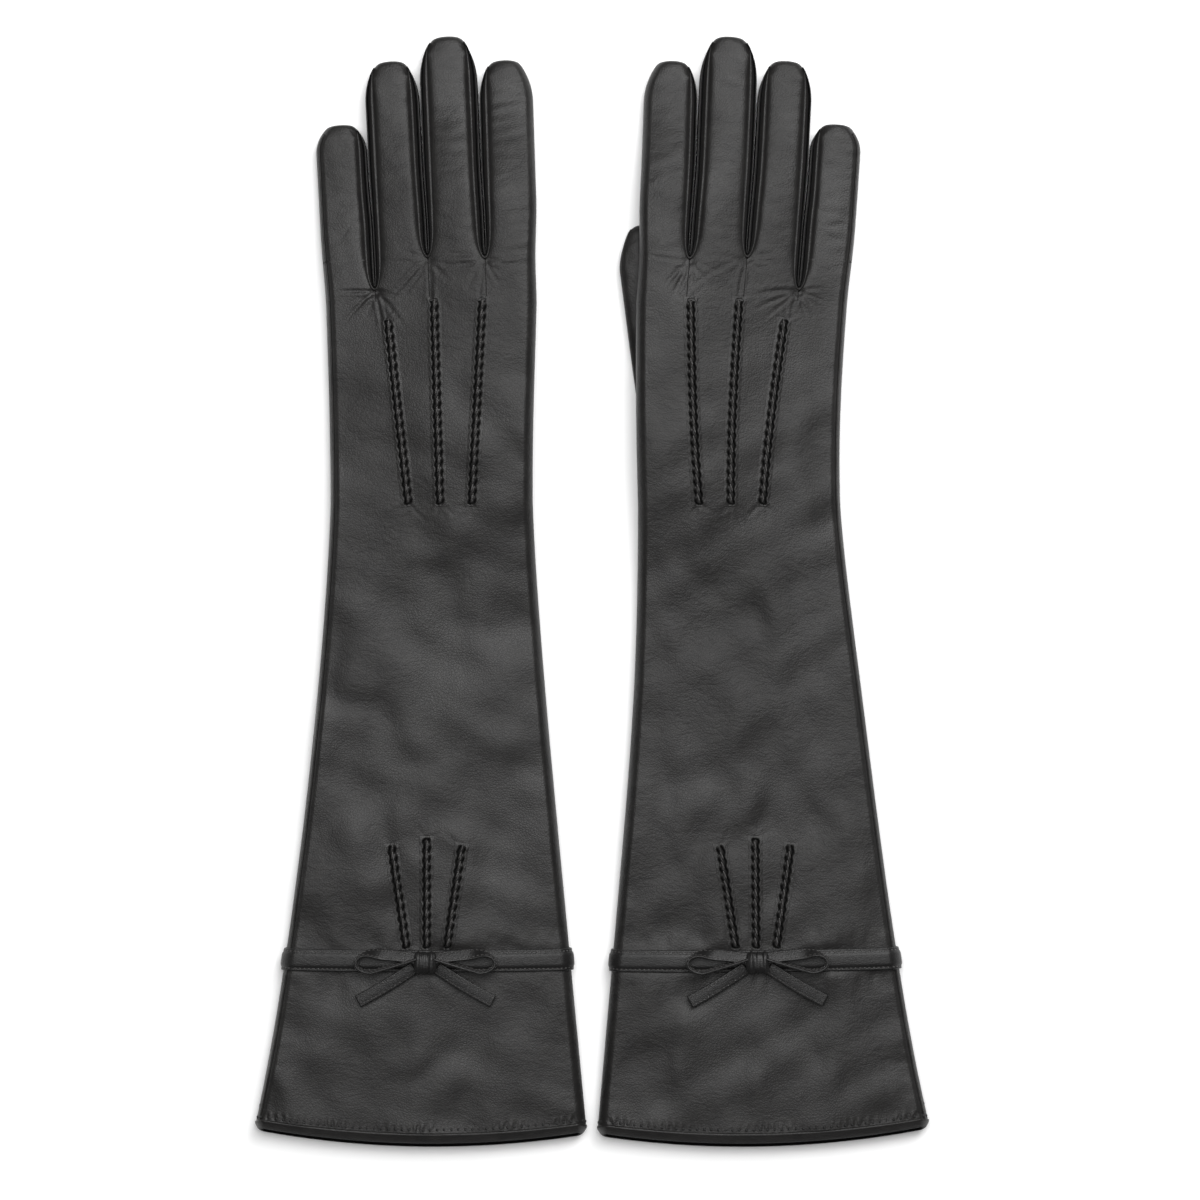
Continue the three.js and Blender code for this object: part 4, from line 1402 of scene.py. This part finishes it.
def point_stitches(rows, index, side, pitch):
    """One raised row's stitches: beads that slant across the cord, a little to each side in turn."""
    start, length, way, normal = row_line(rows, index)
    s = np.arange(pitch * 0.5, length, pitch)
    beat = np.where(np.arange(len(s)) % 2 == 0, 1.0, -1.0)
    at = start + way * s[:, None] + normal * (0.12 * beat)[:, None]
    z = back_height(at[:, 0], at[:, 1], side) + 0.66
    slant = np.tile(np.append(unit(way + normal * 0.24), 0.0), (len(s), 1))
    up = np.tile([0.0, 0.0, 1.0], (len(s), 1))
    return stitches(np.column_stack([at, z]), slant, up, pitch * 0.9, 0.85, 0.75)


class GLOVES_OT_points(bpy.types.Operator):
    """Tuck and stitch the rows of raised points on each back and cuff"""

    bl_idname = "gloves.points"
    bl_label = "Raised stitching"

    def execute(self, context):
        pitch = context.scene.glove_sizes.point_pitch / MM
        for side in SIDES:
            for rows, body in ((HAND_ROWS, "hand"), (CUFF_ROWS, "sleeve")):
                for index, name in enumerate(rows["names"]):
                    patch, depth = point_patch(rows, index, side, pitch)
                    lower = patch[:, ::-1] * [1, 1, 0] + [0, 0, 9.4]
                    lower[..., 2] += lift(lower[..., 0], lower[..., 1])
                    grid = np.concatenate([patch, lower], 1)
                    label = f"{side}_{rows['part']}_row_{name}"
                    piece = build_piece(f"{label}_tuck", side, [grid], OPEN, "fold")
                    # Painted shade in the row's grooves; the hidden lower sheet gets none.
                    shade(piece, np.concatenate([depth, np.zeros_like(depth)], 1))
                    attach(piece, f"{side}_{body}")
                    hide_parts(f"{side}_{rows['part']}_point_{name}")
                    capsules = point_stitches(rows, index, side, pitch)
                    label = f"{label}_thread"
                    thread = build_piece(label, side, capsules, CLOSED, "thread")
                    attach(thread, f"{side}_{body}")
        return {"FINISHED"}


class GLOVES_OT_linings(bpy.types.Operator):
    """Line each arm and hand with silk jersey"""

    bl_idname = "gloves.linings"
    bl_label = "Linings"

    def execute(self, context):
        for side in SIDES:
            for body, start, end in (("sleeve", 9.0, 236.0), ("hand", 272.0, 344.0)):
                ys = np.linspace(start, end, 60)
                outer = flat_ring(ys, -2.2, 50, 8)
                inner = flat_ring(ys[::-1], -2.8, 50, 8)
                grid = np.concatenate([outer, inner, outer[:1]])
                if body == "hand":
                    grid[..., 2] += lift(grid[..., 0], grid[..., 1])
                label = f"{side}_{body}_jersey"
                piece = build_piece(label, side, [bow_hem(grid)], OPEN, "jersey")
                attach(piece, f"{side}_{body}")
                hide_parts(f"{side}_{body}_lining")
        return {"FINISHED"}


STEPS = (
    GLOVES_OT_stage, GLOVES_OT_trank, GLOVES_OT_fingers, GLOVES_OT_fourchettes, GLOVES_OT_thumbs,
    GLOVES_OT_trims, GLOVES_OT_bows, GLOVES_OT_points, GLOVES_OT_linings,
)


class GLOVES_PT_panel(bpy.types.Panel):
    """Lists the gloves' sizes, colours and steps"""

    bl_idname = "GLOVES_PT_panel"
    bl_label = "Opera gloves"
    bl_space_type = "VIEW_3D"
    bl_region_type = "UI"
    bl_category = "Gloves"

    def draw(self, context):
        for group in (context.scene.glove_sizes, context.scene.glove_colours):
            for key in group.__annotations__:
                self.layout.prop(group, key)
        for step in STEPS:
            self.layout.operator(step.bl_idname)


CLASSES = (GloveSizes, GloveColours, *STEPS, GLOVES_PT_panel)


def register():
    """Registers the classes and hangs the two groups of properties on the scene."""
    for cls in CLASSES:
        bpy.utils.register_class(cls)
    bpy.types.Scene.glove_sizes = bpy.props.PointerProperty(type=GloveSizes)
    bpy.types.Scene.glove_colours = bpy.props.PointerProperty(type=GloveColours)


def unregister():
    """Takes them off again."""
    del bpy.types.Scene.glove_colours
    del bpy.types.Scene.glove_sizes
    for cls in reversed(CLASSES):
        bpy.utils.unregister_class(cls)


def main():
    """Builds the gloves step by step."""
    register()
    for step in STEPS:
        group, name = step.bl_idname.split(".")
        getattr(getattr(bpy.ops, group), name)()


if __name__ == "__main__":
    main()
